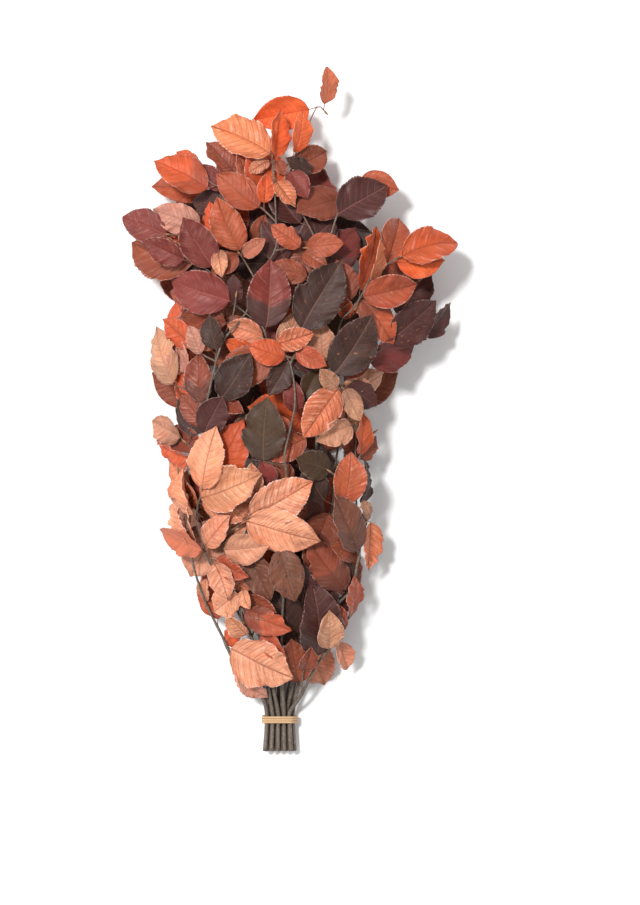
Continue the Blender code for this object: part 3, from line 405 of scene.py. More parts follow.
class Leaf:
    """One blade: where it is held, how it points and how it is bent."""

    def __init__(self, spray, name, base, tip, rank, colour, seen):
        rng = random.Random(f"{SEED} {name}")
        self.spray, self.name, self.rank, self.colour = spray, name, rank, colour
        self.base = base
        span = tip - base
        flat = math.hypot(span.x, span.y)
        self.yaw = math.atan2(span.y, span.x)
        self.pitch = max(-MOST_PITCH, min(MOST_PITCH, math.atan2(span.z + TIP_RISE, flat)))
        self.length = flat / math.cos(self.pitch)
        self.broad = max(seen, NARROWEST) if seen >= EDGE_ON else LEAF_BROAD
        self.roll = self.lie(flat, seen) + rng.uniform(-.12, .12)
        for habit, limits in BLADE_RANGES.items():
            setattr(self, habit, rng.uniform(*limits))
        self.flat_lying = False
        self.rows = FRONT_ROWS if rank < 2 else BACK_ROWS

    def lie(self, flat, seen):
        """Roll that lays the blade along the bunch's surface, or turns it to look narrow."""
        ahead = Vector((math.cos(self.yaw), math.sin(self.yaw), 0))
        left = Vector((-ahead.y, ahead.x, 0))
        half = self.broad * flat / 2
        middle = self.base + ahead * flat / 2
        one, two = middle + left * half, middle - left * half
        slope = (front_at(one.x, one.y) - front_at(two.x, two.y)) / (2 * half)
        if seen < EDGE_ON:
            return math.copysign(math.acos(seen / LEAF_BROAD), slope)
        return .8 * math.atan(slope)

    def point(self, s, t):
        """Point of the middle surface in the leaf's own frame: s from base to tip, t across."""
        rib = s ** 1.4
        edge = s ** .8
        x = rib + (edge - rib) * abs(t) ** 1.15
        outline = edge ** BASE_POWER * (1 - edge) ** TIP_POWER / OUTLINE_PEAK
        y = t * (self.broad / 2 * outline + PETIOLE_HALF / self.length * (1 - s) ** 4)
        if self.flat_lying:
            return Vector((x, y, 0)) * self.length
        z = self.arch * 4 * x * (1 - x) + self.curl * x ** 3 + self.fold * abs(y)
        ripple = math.tau * self.waves * s + self.phase + (1 if t > 0 else 0)
        z += self.wave * outline * t * t * math.sin(ripple)
        turn = self.twist * x
        y, z = y * math.cos(turn) - z * math.sin(turn), y * math.sin(turn) + z * math.cos(turn)
        return Vector((x, y, z)) * self.length

    def blade(self, thick):
        """The blade as a bmesh in its own frame, with a thickness and a pointed tip."""
        bm = bmesh.new()
        bmesh.ops.create_grid(bm, x_segments=self.rows, y_segments=2, size=1)
        for vert in bm.verts:
            s, t = (vert.co.x + 1) / 2, vert.co.y
            if s < 1e-6 and abs(t) < .5:
                t = 1
            vert.co = self.point(s, t)
        bmesh.ops.remove_doubles(bm, verts=bm.verts, dist=.02 * MM)
        bmesh.ops.triangulate(bm, faces=bm.faces)
        bm.normal_update()
        for vert in bm.verts:
            vert.co -= vert.normal * thick / 2
        for vert in extruded_verts(bm, bm.faces):
            vert.co += vert.normal * thick
        bmesh.ops.recalc_face_normals(bm, faces=bm.faces)
        return bm

    def pose(self, change=(0, 0, 0, 0)):
        """Matrix from the leaf's own frame to the bunch, with a change of lift, pitch, roll and turn."""
        lift, pitch, roll, turn = change
        place = Matrix.Translation(self.base + Vector((0, 0, lift)))
        yaw = Matrix.Rotation(self.yaw + turn, 4, "Z")
        tilt = Matrix.Rotation(-self.pitch - pitch, 4, "Y")
        return place @ yaw @ tilt @ Matrix.Rotation(self.roll + roll, 4, "X")


# %% [markdown]
# ## Room for every leaf
#
# Leaves in a real bunch push each other aside. A crowd remembers everything that is in place, and each new
# leaf is lifted, pitched, rolled or turned by the smallest change that leaves it clear of the rest. This is
# the same search that the solids were made with, so that a fine leaf lands where its solid lies.

# %% Crowd and settling
CLEAR = 0.9 * MM
LEAST_CLEAR = 0.35 * MM


class Crowd:
    """Everything placed so far, for asking whether a new piece would touch it."""

    def __init__(self):
        self.pieces = []

    def add(self, spray, kind, bm):
        bmesh.ops.triangulate(bm, faces=bm.faces)
        points = [vert.co.copy() for vert in bm.verts]
        faces = [[vert.index for vert in face.verts] for face in bm.faces]
        middle = sum(points, Vector()) / len(points)
        reach = max((point - middle).length for point in points)
        self.pieces.append((spray, kind, points, faces, middle, reach))

    def near(self, middle, reach, keep):
        """One tree of all kept pieces within reach of a point."""
        points, faces = [], []
        for spray, kind, more, corners, place, size in self.pieces:
            if keep(spray, kind) and (place - middle).length < reach + size:
                start = len(points)
                points += more
                faces += [[start + corner for corner in face] for face in corners]
        return BVHTree.FromPolygons(points, faces) if faces else None


def touches(tree, points, faces):
    return bool(tree and tree.overlap(BVHTree.FromPolygons(points, faces)))


TWIG_LIFTS = [k * MM for k in (0, -3, 3, -6, 6, -10, 10, -15, 15)]
LIFTS = [k * MM for k in (0, -2, 2, -4, 4, -7, 7, -10, 10, -14, 14, -19, -25)]
PITCHES = [math.radians(k) for k in (0, -7, 7, -14, 14, -22, 22, 32)]
ROLLS = [math.radians(k) for k in (0, -9, 9, -18, 18, -30, 30)]
TURNS = [math.radians(k) for k in (0, -7, 7, -16, 16)]
MOST_TRIES = 2600


def change_cost(change):
    lift, pitch, roll, turn = change
    return (abs(lift) / (3 * MM) + abs(pitch) / math.radians(8) + abs(roll) / math.radians(10)
            + abs(turn) / math.radians(5))


CHANGES = sorted(itertools.product(LIFTS, PITCHES, ROLLS, TURNS), key=change_cost)[:MOST_TRIES]


def soup(bm):
    """A bmesh's points and triangles as plain lists."""
    bmesh.ops.triangulate(bm, faces=bm.faces)
    return [vert.co.copy() for vert in bm.verts], [[v.index for v in face.verts] for face in bm.faces]


def lowest(bm):
    return min(vert.co.z for vert in bm.verts)


def settle(leaf, crowd, tries=MOST_TRIES):
    """Find the mildest change of a leaf's pose that keeps its blade and its stalk clear."""
    middle = leaf.pose() @ Vector((leaf.length / 2, 0, 0))
    reach = leaf.length / 2 + 30 * MM
    everything = crowd.near(middle, reach, lambda spray, kind: True)
    others = crowd.near(middle, reach, lambda spray, kind: spray != leaf.spray)
    for clear in (CLEAR, LEAST_CLEAR):
        points, faces = soup(leaf.blade(LEAF_THICK + 2 * clear))
        for change in CHANGES[:1 if leaf.flat_lying else tries]:
            pose = leaf.pose(change)
            moved = [pose @ point for point in points]
            if not leaf.flat_lying and min(point.z for point in moved) < 0:
                continue
            if touches(everything, moved, faces):
                continue
            stalk = [leaf.root, pose.translation]
            wide = stick(stalk, PETIOLE_HALF + clear, PETIOLE_HALF + clear, ROUGH_SIDES)
            if touches(others, *soup(wide)):
                continue
            leaf.matrix = pose
            blade = leaf.blade(LEAF_THICK)
            blade.transform(pose)
            crowd.add(leaf.spray, "leaf", blade)
            crowd.add(leaf.spray, "stalk", stick(stalk, PETIOLE_HALF, PETIOLE_HALF, ROUGH_SIDES))
            return True
    return False


# %% [markdown]
# ## Sprays through the band
#
# Fifteen stems pass through the band side by side, in three rows that lie in each other's hollows. Each spray
# then gets its twigs and leaves: from its plan in front, and by a simple rule behind, where twigs and leaves
# alternate left and right as beech grows them.

# %% Build a spray
BAND_COLUMN = 279
BAND_ROW = 724
CUT_ROW = 756
CUT_SPREAD = 0.12
STEM_PITCH = 6.8 * MM
ROW_RISE = 5.9 * MM
BAND_WIDTH = 9 * MM
BAND_THICK = 2.2 * MM
BAND_GAP = 0.3 * MM
BAND_SEGMENTS = 20
WINDINGS = 3
ROOT_DROP = 10 * MM
ROOT_RISE = 14 * MM
RANK_STEP = 8 * MM
SEARCH_REACH = .2


def slot_place(column, row):
    """Middle of a stem inside the band: rows lie in each other's hollows."""
    middle = spot(BAND_COLUMN, BAND_ROW)
    across = (column - 2 + (.25 if row % 2 else -.25)) * STEM_PITCH
    return Vector((middle.x + across, middle.y, BAND_THICK + BAND_GAP + STEM_RADIUS + row * ROW_RISE))


class Spray:
    """One stem with its side twigs and leaves."""

    def __init__(self, name, slot, stem_points):
        self.name = name
        tied = slot_place(*slot)
        middle = spot(BAND_COLUMN, BAND_ROW)
        cut = Vector((tied.x + CUT_SPREAD * (tied.x - middle.x), spot(0, CUT_ROW).y, tied.z))
        straight = Vector((0, BAND_WIDTH, 0))
        self.points = [cut, tied - straight, tied + straight] + stem_points
        self.stem = smooth_route(self.points, STEM_STEP)
        self.twigs = []
        self.leaves = []

    def places(self):
        """Points all along the stem and the twigs, short of their ends."""
        lines = [self.stem] + [smooth_route(twig, TWIG_STEP) for twig in self.twigs]
        return [a.lerp(b, k / 10) for line in lines for a, b in zip(line, line[1:]) for k in range(10)]

    def wood_near(self, point):
        """Point of the stem or a twig that lies nearest to a point, seen from above."""
        return min(self.places(), key=lambda place: (place.xy - point.xy).length)

    def add_twig(self, points, crowd):
        """A side twig from the stem through points, bent up or down to pass clear of other wood."""
        points = [self.wood_near(points[0])] + points[1:]
        tree = crowd.near(points[-1], SEARCH_REACH, lambda spray, kind: spray != self.name)
        for lift in TWIG_LIFTS:
            moved = [points[0]] + [p + Vector((0, 0, lift)) for p in points[1:]]
            route = smooth_route(moved, TWIG_STEP)
            wide = stick(route, TWIG_RADIUS + CLEAR, TWIG_TIP_RADIUS + CLEAR, ROUGH_SIDES)
            if lowest(wide) > 0 and not touches(tree, *soup(wide)):
                self.twigs.append(moved)
                crowd.add(self.name, "wood", stick(route, TWIG_RADIUS, TWIG_TIP_RADIUS, ROUGH_SIDES))
                return moved
        return None

    def add_leaf(self, base, tip, rank, colour, seen):
        leaf = Leaf(self.name, f"{self.name} {len(self.leaves)}", base, tip, rank, colour, seen)
        ahead = Vector((math.cos(leaf.yaw), math.sin(leaf.yaw), 0))
        leaf.root = self.wood_near(base - ahead * PETIOLE)
        leaf.base.z = min(max(leaf.base.z, leaf.root.z - ROOT_DROP), leaf.root.z + ROOT_RISE)
        self.leaves.append(leaf)
        return leaf


def bare_spray(name, slot, stem_points, crowd):
    """A spray that so far is only its stem."""
    spray = Spray(name, slot, stem_points)
    crowd.add(name, "wood", stick(spray.stem, STEM_RADIUS, STEM_TIP_RADIUS, STEM_SIDES))
    return spray


def fill_front(spray, crowd):
    """Twigs and leaves of a front spray, as its plan lists them."""
    branches = PLANS[spray.name][1]
    for points, leaves in branches[1:]:
        spray.add_twig([spot(*point, depth=TWIG_DEPTH) for point in points], crowd)
    for points, leaves in branches:
        for column, row, tip_column, tip_row, rank, colour, seen in leaves:
            depth = rank * RANK_STEP
            spray.add_leaf(spot(column, row, depth=depth), spot(tip_column, tip_row, depth=depth),
                           rank, colour, seen)


def inside(base, tip):
    """Whether a leaf's tip and both its sides lie within the bunch's outline, seen from above."""
    middle = (base + tip) / 2
    side = Vector((base.y - tip.y, tip.x - base.x, 0)) * LEAF_BROAD / 2
    for point in (tip, middle + side, middle - side):
        row = PHOTO_MIDDLE[1] - point.y / PIXEL
        if row < TOP_ROW or abs(offset_at(point.x / PIXEL + PHOTO_MIDDLE[0], row)) > .95:
            return False
    return True


def fill_back(spray, crowd):
    """Twigs and leaves of a hidden spray by rule: twigs and leaves alternate, left and right."""
    rng = random.Random(f"{SEED} {spray.name}")
    stem = PLANS[spray.name][1][0][0]
    share = stem[0][2]
    route = smooth_route(spray.points, TWIG_SPACING)
    for number, start in enumerate(route[BARE_STEPS:]):
        along = (route[min(BARE_STEPS + number + 1, len(route) - 1)] - route[BARE_STEPS + number - 1])
        heading = math.atan2(along.y, along.x) + (-1) ** number * rng.uniform(.5, .85)
        twig = [start]
        for k in range(1, 4):
            step = Vector((math.cos(heading), math.sin(heading), 0)) * TWIG_LENGTH / 3
            place = twig[-1] + step
            place.z = share * front_at(place.x, place.y) + rng.uniform(-3, 5) * MM
            twig.append(place)
            heading += rng.uniform(-.12, .12)
        twig = inside(twig[0], twig[-1]) and spray.add_twig(twig, crowd)
        if not twig:
            continue
        places = list(enumerate(twig[1:] + [twig[-1]]))
        for k, place in places[1 if share < LOW_SHARE else 0:]:
            turn = 0 if k == 3 else (-1) ** k * rng.uniform(.7, 1)
            ahead = Vector((math.cos(heading + turn), math.sin(heading + turn), 0))
            length = BACK_LEAF * rng.uniform(.8, 1.1)
            base = place + ahead * PETIOLE
            tip = base + ahead * length
            base.z = share * front_at(base.x, base.y)
            tip.z = share * front_at(tip.x, tip.y)
            colour = rng.choice(BACK_COLOURS)
            if inside(base, tip):
                spray.add_leaf(base, tip, BACK_RANK, colour, LEAF_BROAD)


# %% [markdown]
# ## No bare patches
#
# Seen from above, the bunch is closed nearly everywhere. Wherever a probe from above would reach the table,
# one more leaf is grown on the nearest wood that can hold it.

# %% Close the gaps and lay everything out
# Leaves added wherever the table shows through: probed rows and their colours, and the probes' pitch.
GAP_ROWS = [
    (range(180, 430, 14), ["red", "purple", "brown", "rust", "copper", "orange"]),
    (range(430, 680, 14), ["copper", "rust", "orange", "tan", "brown", "light"]),
]
GAP_RANK = 4
GAP_STEP = 14
GAP_EDGE = 20
GAP_HALF = 7 * MM
PROBE_RISE = .1
GAP_REACH = 40 * MM
GAP_SHARES = [.75, .6, .45, .3]
GAP_TRIES = 160


def gaps(crowd, rows):
    """Places within the bunch's outline where nothing hides the table."""
    for row in rows:
        left, right = shape_at(row)[:2]
        for column in range(round(left) + GAP_EDGE, round(right) - GAP_EDGE, GAP_STEP):
            place = spot(column, row)
            leaves = crowd.near(place, SEARCH_REACH, lambda spray, kind: kind == "leaf")
            sides = itertools.product((-GAP_HALF, GAP_HALF), repeat=2)
            probes = [place + Vector((x, y, PROBE_RISE)) for x, y in sides]
            if sum(leaves.ray_cast(probe, Vector((0, 0, -1)))[0] is None for probe in probes) > 1:
                yield place


def fill_gaps(sprays, crowd):
    """Cover the gaps with leaves, each on wood that lies about half a leaf from its gap."""
    rng = random.Random(f"{SEED} gaps")
    wood = [(place, spray) for spray in sprays for place in spray.places()]
    for rows, colours in GAP_ROWS:
        for gap in gaps(crowd, rows):
            for share in GAP_SHARES:
                place = Vector((gap.x, gap.y, gap.z * share))
                root, spray = min(wood, key=lambda pair: abs((pair[0] - place).length - GAP_REACH))
                ahead = Vector((place.x - root.x, place.y - root.y, 0)).normalized()
                base = root + ahead * PETIOLE
                tip = base + ahead * BACK_LEAF * rng.uniform(.9, 1.1)
                tip.z = share * front_at(tip.x, tip.y)
                colour = rng.choice(colours)
                if inside(base, tip):
                    leaf = spray.add_leaf(base, tip, GAP_RANK, colour, LEAF_BROAD)
                    if settle(leaf, crowd, GAP_TRIES):
                        break
                    spray.leaves.remove(leaf)


def rest_leaves(sprays):
    """Leaves that lie flat on the table round the bunch's weight."""
    for name, base, tip in REST_LEAVES:
        spray = next(spray for spray in sprays if spray.name == name)
        leaf = spray.add_leaf(spot(*base), spot(*tip), -1, "rust", LEAF_BROAD)
        leaf.base.z = LEAF_THICK / 2
        leaf.pitch = leaf.roll = 0
        leaf.length = (spot(*tip).xy - spot(*base).xy).length
        leaf.flat_lying = True


def lay_out():
    """All sprays with every leaf in its place; leaves with no room are left out."""
    crowd = Crowd()
    sprays = [bare_spray(name, slot, [spot(*point) for point in branches[0][0]], crowd)
              for name, (slot, branches) in PLANS.items()]
    for spray in sprays:
        fill = fill_back if spray.name in HIDDEN_SPRAYS else fill_front
        fill(spray, crowd)
    rest_leaves(sprays)
    leaves = sorted((leaf for spray in sprays for leaf in spray.leaves), key=lambda leaf: leaf.rank)
    settled = {leaf.name for leaf in leaves if settle(leaf, crowd)}
    for spray in sprays:
        spray.leaves = [leaf for leaf in spray.leaves if leaf.name in settled]
    fill_gaps(sprays, crowd)
    return sprays


sprays = lay_out()
print(sum(len(spray.leaves) for spray in sprays), "leaves on", len(sprays), "sprays")

# %% [markdown]
# ## Into the frame of the solids
#
# The layout counts from a pixel in the middle of the photograph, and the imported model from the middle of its
# box. The rubber band has a known place in both, and the difference of the two moves everything across.

# %% Measure the shift
def round_bundle(count, clear):
    """Points round the tied stems and clear of them, each with its outward direction and its angle."""
    outermost = [slot_place(column, row) for column in (0, 4) for row in range(3)]
    for k in range(count):
        angle = math.tau * (k + .5) / count
        out = Vector((math.cos(angle), 0, math.sin(angle)))
        yield max(outermost, key=out.dot) + out * (STEM_RADIUS + clear), out, angle


def middle_of(corners):
    """Middle of the box round some points."""
    return Vector([(min(c[k] for c in corners) + max(c[k] for c in corners)) / 2 for k in range(3)])


ridge = [place for place, out, angle in round_bundle(BAND_SEGMENTS, BAND_GAP + BAND_THICK)]
SHIFT = middle_of(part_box("rubber_band")) - middle_of(ridge)
TO_FRAME = Matrix.Translation(SHIFT)
TABLE_LEVEL = -SHIFT.z
print("shift in mm:", [round(value / MM, 2) for value in SHIFT])

# %% [markdown]
# ## What each point carries
#
# One material serves all leaves, though no two look alike. Each point of a leaf therefore carries values of
# its own: where it lies on the blade, the leaf's colour, the colour of its veins, and how worn it is. The
# materials read them as attributes, which stay with the mesh in every view.

# %% Values on the points
HABIT_NUMBERS = ["veins", "seed", "worn", "stain", "bloom"]
NUMBERS = ["along", "across", "under"] + HABIT_NUMBERS
COLOUR_NAMES = ["tone", "rib"]


class Values:
    """The layers of a bmesh that hold each point's values, and its bake layout."""

    def __init__(self, bm):
        numbers, colours = bm.verts.layers.float, bm.verts.layers.float_color
        for name in NUMBERS:
            setattr(self, name, numbers.get(name) or numbers.new(name))
        for name in COLOUR_NAMES:
            setattr(self, name, colours.get(name) or colours.new(name))
        self.bake = bm.loops.layers.uv.get("OFBake") or bm.loops.layers.uv.new("OFBake")


def linear(red, green, blue):
    """A colour as seen on a screen, as the linear light that Blender works in."""
    return Color((red / 255, green / 255, blue / 255)).from_srgb_to_scene_linear()


def put_in(whole, part, material_index):
    """Add a part to a spray's mesh, with its material, and drop the part."""
    for face in part.faces:
        face.material_index = material_index
        face.smooth = True
    mesh = bpy.data.meshes.new("part")
    part.to_mesh(mesh)
    part.free()
    whole.from_mesh(mesh)
    bpy.data.meshes.remove(mesh)


# %% [markdown]
# ## Room in the baked picture
#
# When the model is exported, its materials are painted into one square picture a spray. Left to itself,
# Blender would cut the pleated leaves into thousands of islands. A sheet of equal cells is tidier: each side
# of a leaf fills one cell, a twig another, and the long stem a whole row.

# %% Bake sheet
MARGIN = .04


class BakeSheet:
    """Square cells of a spray's picture, handed out one after another; the top row is the stem's."""

    def __init__(self, cells):
        self.side = math.ceil((1 + math.sqrt(1 + 4 * cells)) / 2)
        self.used = 0

    def cell(self):
        row, column = divmod(self.used, self.side)
        self.used += 1
        return lambda u, v: (Vector((column, row)) + Vector((MARGIN, MARGIN))
                             + Vector((u, v)) * (1 - 2 * MARGIN)) / self.side

    def top_row(self):
        return lambda u, v: Vector((u, (self.side - 1 + MARGIN + v * (1 - 2 * MARGIN)) / self.side))


# %% [markdown]
# ## Colours of the leaves
#
# Copper beech dries to many shades, from peach and orange in the light to dark purple and brown inside. Each
# name in the plans stands for a blade colour and a vein colour, and tells how much pale bloom and painted
# highlight its raised pleats and rim show, and how glossy it is. Every leaf then strays a little from its
# name's shade, as no two leaves dry alike.

# %% Leaf colours
TONES = {
    "orange": ((204, 88, 42), (136, 56, 34)),
    "light": ((220, 128, 86), (148, 74, 50)),
    "copper": ((176, 84, 52), (122, 58, 42)),
    "peach": ((230, 156, 120), (152, 84, 60)),
    "rust": ((146, 72, 48), (108, 52, 38)),
    "bronze": ((118, 72, 52), (86, 56, 44)),
    "flame": ((232, 104, 52), (160, 64, 36)),
    "red": ((124, 50, 43), (144, 78, 66)),
    "purple": ((76, 38, 34), (134, 86, 74)),
    "brown": ((62, 36, 28), (120, 84, 68)),
    "olive": ((74, 52, 34), (108, 82, 58)),
    "tan": ((208, 146, 108), (146, 92, 68)),
    "pink": ((204, 138, 118), (158, 94, 80)),
}
# Per colour, how much pale bloom, painted highlight and gloss its leaves show; the bright colours share one
# range.
BLOOM_AND_SHEEN = {"purple": (0, .1), "brown": (0, .1), "olive": (0, .1), "bronze": (.1, .3), "red": (.05, .3),
         "rust": (.1, .4), "copper": (.1, .45), "orange": (.15, .5), "flame": (.2, .5)}
BRIGHT_BLOOM_AND_SHEEN = (.6, 1)
DARK = ("purple", "brown", "olive", "bronze", "red", "rust")
CRUMPLED = {"tan": 1.6, "pink": 1.6, "peach": 1.25, "purple": .6, "brown": .6, "olive": .6, "red": .8}
DEEP_PLEATED = ("peach", "light", "pink")
PALE_UNDER = ("tan", "pink")

# %% [markdown]
# ## What makes one leaf its own
#
# Side veins pull the blade into pleats, each vein ends in a small tooth, and drying bends, folds, twists and
# crumples the blade. How strong each of these is, how worn the leaf is and which side it shows differ from
# leaf to leaf. A few leaves that stand out in the photograph are named, with their colour, spots or a foot
# darkened to near black.

# %% Habits of a leaf
# Leaves that the photograph shows in another colour than their neighbours on the spray.
RECOLOURED = {
    "bronze": ["centre 6", "right_edge 0", "left_tall 5"],
    "flame": ["left_tall 0", "left_tall 8", "left_tall 25", "left_tall 26", "left_tall 27", "right_main 2"],
    "light": ["peach 6", "centre 14", "right_edge 7"],
    "peach": ["peach 19", "peach 20", "left_tall 2"],
    "rust": ["left_tall 6", "second_left 10", "right_edge 1"],
    "copper": ["left_tall 17", "right_upper 1", "right_low 4"],
    "tan": ["right_low 1"],
}
COLOUR_OF = {leaf: colour for colour, leaves in RECOLOURED.items() for leaf in leaves}
MARKED = {
    "left_side 0": {"stain": 1},
    "left_tall 14": {"stain": .45},
    "right_edge 0": {"stain": .5},
    "centre 6": {"worn": 1, "seed": 31.0},
    "centre 18": {"worn": 1},
    "second_left 0": {"worn": .8},
    "second_left 2": {"worn": 1},
}
# Hidden leaves to the left of this pixel and below it have one of the bright colours.
BRIGHT_CORNER = (252, 425)
BRIGHT_COLOURS = ["peach", "light", "orange", "peach", "copper", "tan"]
LEAF_THINNESS = .45 * MM
LONG_LEAF = 55 * MM
MOST_BEND = .03
DEEPER = 2.4
VEIN_BEND = .05
TEETH_PER_VEIN = 2
# How far each habit of a dried blade may stray.
HABIT_RANGES = {"pleat": (.0014, .0032), "teeth": (.035, .075), "frill": (.04, .1), "cup": (-.07, .08),
                "droop": (-.11, .06), "twist": (-.09, .09), "fold": (-.08, .08), "crumple": (.03, .065)}
# Leaves up to this rank show, and have a finer grid.
FINE_RANK = 2
ROWS_PER_VEIN = {True: 4, False: 2}
ACROSS = {True: 24, False: 10}


class Habit:
    """Veins, teeth, pleats, wear and colours of one leaf."""

    def __init__(self, leaf):
        def sometimes(chance, low, high):
            return rng.uniform(low, high) if rng.random() < chance else 0

        rng = random.Random(f"{leaf.name} habit")
        name = leaf.name.removeprefix("spray_")
        self.leaf = leaf
        self.colour = COLOUR_OF.get(name) or self.usual_colour(rng)
        self.fine = 0 <= leaf.rank <= FINE_RANK
        self.veins = rng.choice((9, 10, 11) if leaf.length > LONG_LEAF else (7, 8, 9))
        for habit, limits in HABIT_RANGES.items():
            setattr(self, habit, rng.uniform(*limits))
        self.pleat *= DEEPER if self.colour in DEEP_PLEATED else 1
        self.fold = max(0, self.fold)
        self.crumple *= CRUMPLED.get(self.colour, 1)
        self.torn = sometimes(.3, .25, .6)
        self.seed = rng.uniform(0, 60)
        self.worn = sometimes(.3, .3, .8)
        self.stain = sometimes(.2, .3, .8)
        self.bloom = rng.uniform(*BLOOM_AND_SHEEN.get(self.colour, BRIGHT_BLOOM_AND_SHEEN))
        self.turned = self.colour in PALE_UNDER or (rng.random() < .12 and self.colour not in DARK)
        vars(self).update(MARKED.get(name, {}))
        self.bend = MOST_BEND * math.sin(7 * self.seed)
        shade = rng.uniform(.78, 1.06)
        self.tone, self.rib = ([value * shade for value in linear(*colour)] for colour in TONES[self.colour])
        self.tone[1] *= rng.uniform(.93, 1.05)

    def usual_colour(self, rng):
        """The plan's colour, but a bright one for a hidden leaf in the bright corner."""
        middle = self.leaf.matrix @ Vector((self.leaf.length / 2, 0, 0))
        corner = spot(*BRIGHT_CORNER)
        if self.leaf.rank > FINE_RANK and middle.x < corner.x and middle.y < corner.y:
            return rng.choice(BRIGHT_COLOURS)
        return self.leaf.colour

    def phase(self, s, t):
        """Counts side veins from the foot; they curve forward, and the two sides alternate."""
        return self.veins * (s - VEIN_BEND * t * t) + (.5 if t > 0 else 0)

    def margin(self, s, t):
        """How far the edge reaches: teeth where veins end, and bites out of torn leaves."""
        near_edge = max(0, abs(t) - .6) / .4
        tooth = .5 - self.phase(s, t) * TEETH_PER_VEIN % 1
        bite = max(0, noise.noise(Vector((s * 5, t, self.seed))) - .1) * self.torn
        return 1 + near_edge * (self.teeth * tooth - bite)

    def relief(self, s, t):
        """Height of the blade over its smooth form, as a share of its length."""
        ends = math.sin(math.pi * min(1, s ** .8)) ** .5
        place = Vector((s, t * .6, self.seed))
        uneven = 1 + noise.noise(place * 4)
        pleats = self.pleat * (abs(math.sin(math.pi * self.phase(s, t))) - .6) * min(1, abs(t) / .15) * uneven
        wave = Vector((s * 8, math.copysign(1, t), self.seed))
        frill = self.frill * (noise.noise(wave) + .4 * noise.noise(wave * 2.6)) * abs(t) ** 3
        crumple = self.crumple * (noise.noise(place * 3) + .4 * noise.noise(place * 7))
        form = self.cup * t * t + self.fold * abs(t) + self.twist * s * t
        rib = -.005 * max(0, 1 - abs(t) / .12)
        rise = ends * (pleats + frill + crumple * abs(t) ** .5 + rib + form) + self.droop * s ** 4
        return max(0, rise) if self.leaf.flat_lying else rise


# %% [markdown]
# ## Growing a leaf
#
# A grid is bent into the blade: create_grid gives the points, and the formulas above move them. The blade
# then gets its thickness: the points step half of it down, and the whole face is extruded up again. That
# closes the rim as well, which a surface doubled by hand would leave open.

# %% Fine leaf and stalk
TOP_LEVEL = cad_box[1][2] - SHIFT.z - LEAF_THINNESS
EASING = 5 * MM
TIP_POINT = .04
TIP_NARROWING = .35
STALK_RADII = (.62 * MM, .45 * MM)
STALK_STEP = 2 * MM
STALK_SAG = .3 * MM
STALK_OVERLAP = 4 * MM
STALK_TONE = linear(96, 60, 48)


def kept_in_reach(height):
    """A height that stays above the table, and that is eased under the top of the solids."""
    eased = TOP_LEVEL - EASING
    if height > eased:
        height = eased + EASING * (1 - math.exp((eased - height) / EASING))
    return max(height, TABLE_LEVEL + LEAF_THINNESS * .6)


def fine_blade(habit, sheet):
    """One closed, pleated blade in the bunch's place, with its values and its two cells."""
    leaf = habit.leaf
    bm = bmesh.new()
    values = Values(bm)
    bmesh.ops.create_grid(bm, x_segments=habit.veins * ROWS_PER_VEIN[habit.fine],
                          y_segments=ACROSS[habit.fine], size=1)
    for vert in bm.verts:
        s, t = (vert.co.x + 1) / 2, vert.co.y
        for name in HABIT_NUMBERS:
            vert[getattr(values, name)] = getattr(habit, name)
        vert[values.along], vert[values.across] = s, t
        vert[values.under] = 0 if habit.turned else 1
        vert[values.tone], vert[values.rib] = (*habit.tone, 1), (*habit.rib, 1)
        shape = Vector((TIP_POINT * s ** 30, habit.bend * 4 * s * (1 - s), habit.relief(s, t))) * leaf.length
        width = t * habit.margin(s, t) * (1 - TIP_NARROWING * s ** 20)
        vert.co = leaf.matrix @ (leaf.point(s, width) + shape)
        vert.co.z = kept_in_reach(vert.co.z)
    bmesh.ops.remove_doubles(bm, verts=bm.verts, dist=.01 * MM)
    bm.normal_update()
    for vert in bm.verts:
        vert.co -= vert.normal * LEAF_THINNESS / 2
    upper = extruded_verts(bm, bm.faces)
    for vert in upper:
        vert.co += vert.normal * LEAF_THINNESS
        vert[values.under] = 1 - vert[values.under]
    bmesh.ops.recalc_face_normals(bm, faces=bm.faces)
    if bm.calc_volume(signed=True) < 0:
        bmesh.ops.reverse_faces(bm, faces=bm.faces)
    upper, cells = set(upper), (sheet.cell(), sheet.cell())
    for face in bm.faces:
        cell = cells[0 if upper.intersection(face.verts) else 1]
        for loop in face.loops:
            loop[values.bake].uv = cell(loop.vert[values.along], (1 + loop.vert[values.across]) / 2)
    return bm


def wood(route, radii, sides, tone, cell, swell=None):
    """A stick with its values: the same tone all over, and a strip of the bake sheet."""
    bm = stick(route, *radii, sides, swell)
    values = Values(bm)
    for vert in bm.verts:
        vert[values.tone] = (*tone, 1)
    for face in bm.faces:
        turns = [loop.vert[values.across] for loop in face.loops]
        wraps = len(turns) == 4 and max(turns) - min(turns) > .5
        for loop, turn in zip(face.loops, turns):
            loop[values.bake].uv = cell(loop.vert[values.along], turn + (1 if wraps and turn < .5 else 0))
    return bm


def stalk(habit, sheet):
    """Stalk from the twig to the blade's foot, sagging a little between the two."""
    start, end = habit.leaf.root, habit.leaf.matrix.translation
    ahead = habit.leaf.matrix.to_3x3() @ Vector((1, 0, 0))
    middle = start.lerp(end, .5) - Vector((0, 0, STALK_SAG))
    route = smooth_route([start, middle, end, end + ahead * STALK_OVERLAP], STALK_STEP)
    swell = [1.3] + [1] * (len(route) - 2) + [.5]
    tone = [.5 * (a + b) for a, b in zip(habit.rib, STALK_TONE)]
    return wood(route, STALK_RADII, 6, tone, sheet.cell(), swell)


# %% [markdown]
# ## Twigs, knots and buds
#
# Beech twigs are grey-brown and smooth, swell at each leaf's foot, and end in a long pointed bud. The cut end
# of a stem shows pale wood round a darker pith. The stick's rings swell near every leaf, and the bud is
# a short stick whose rings draw the spindle.

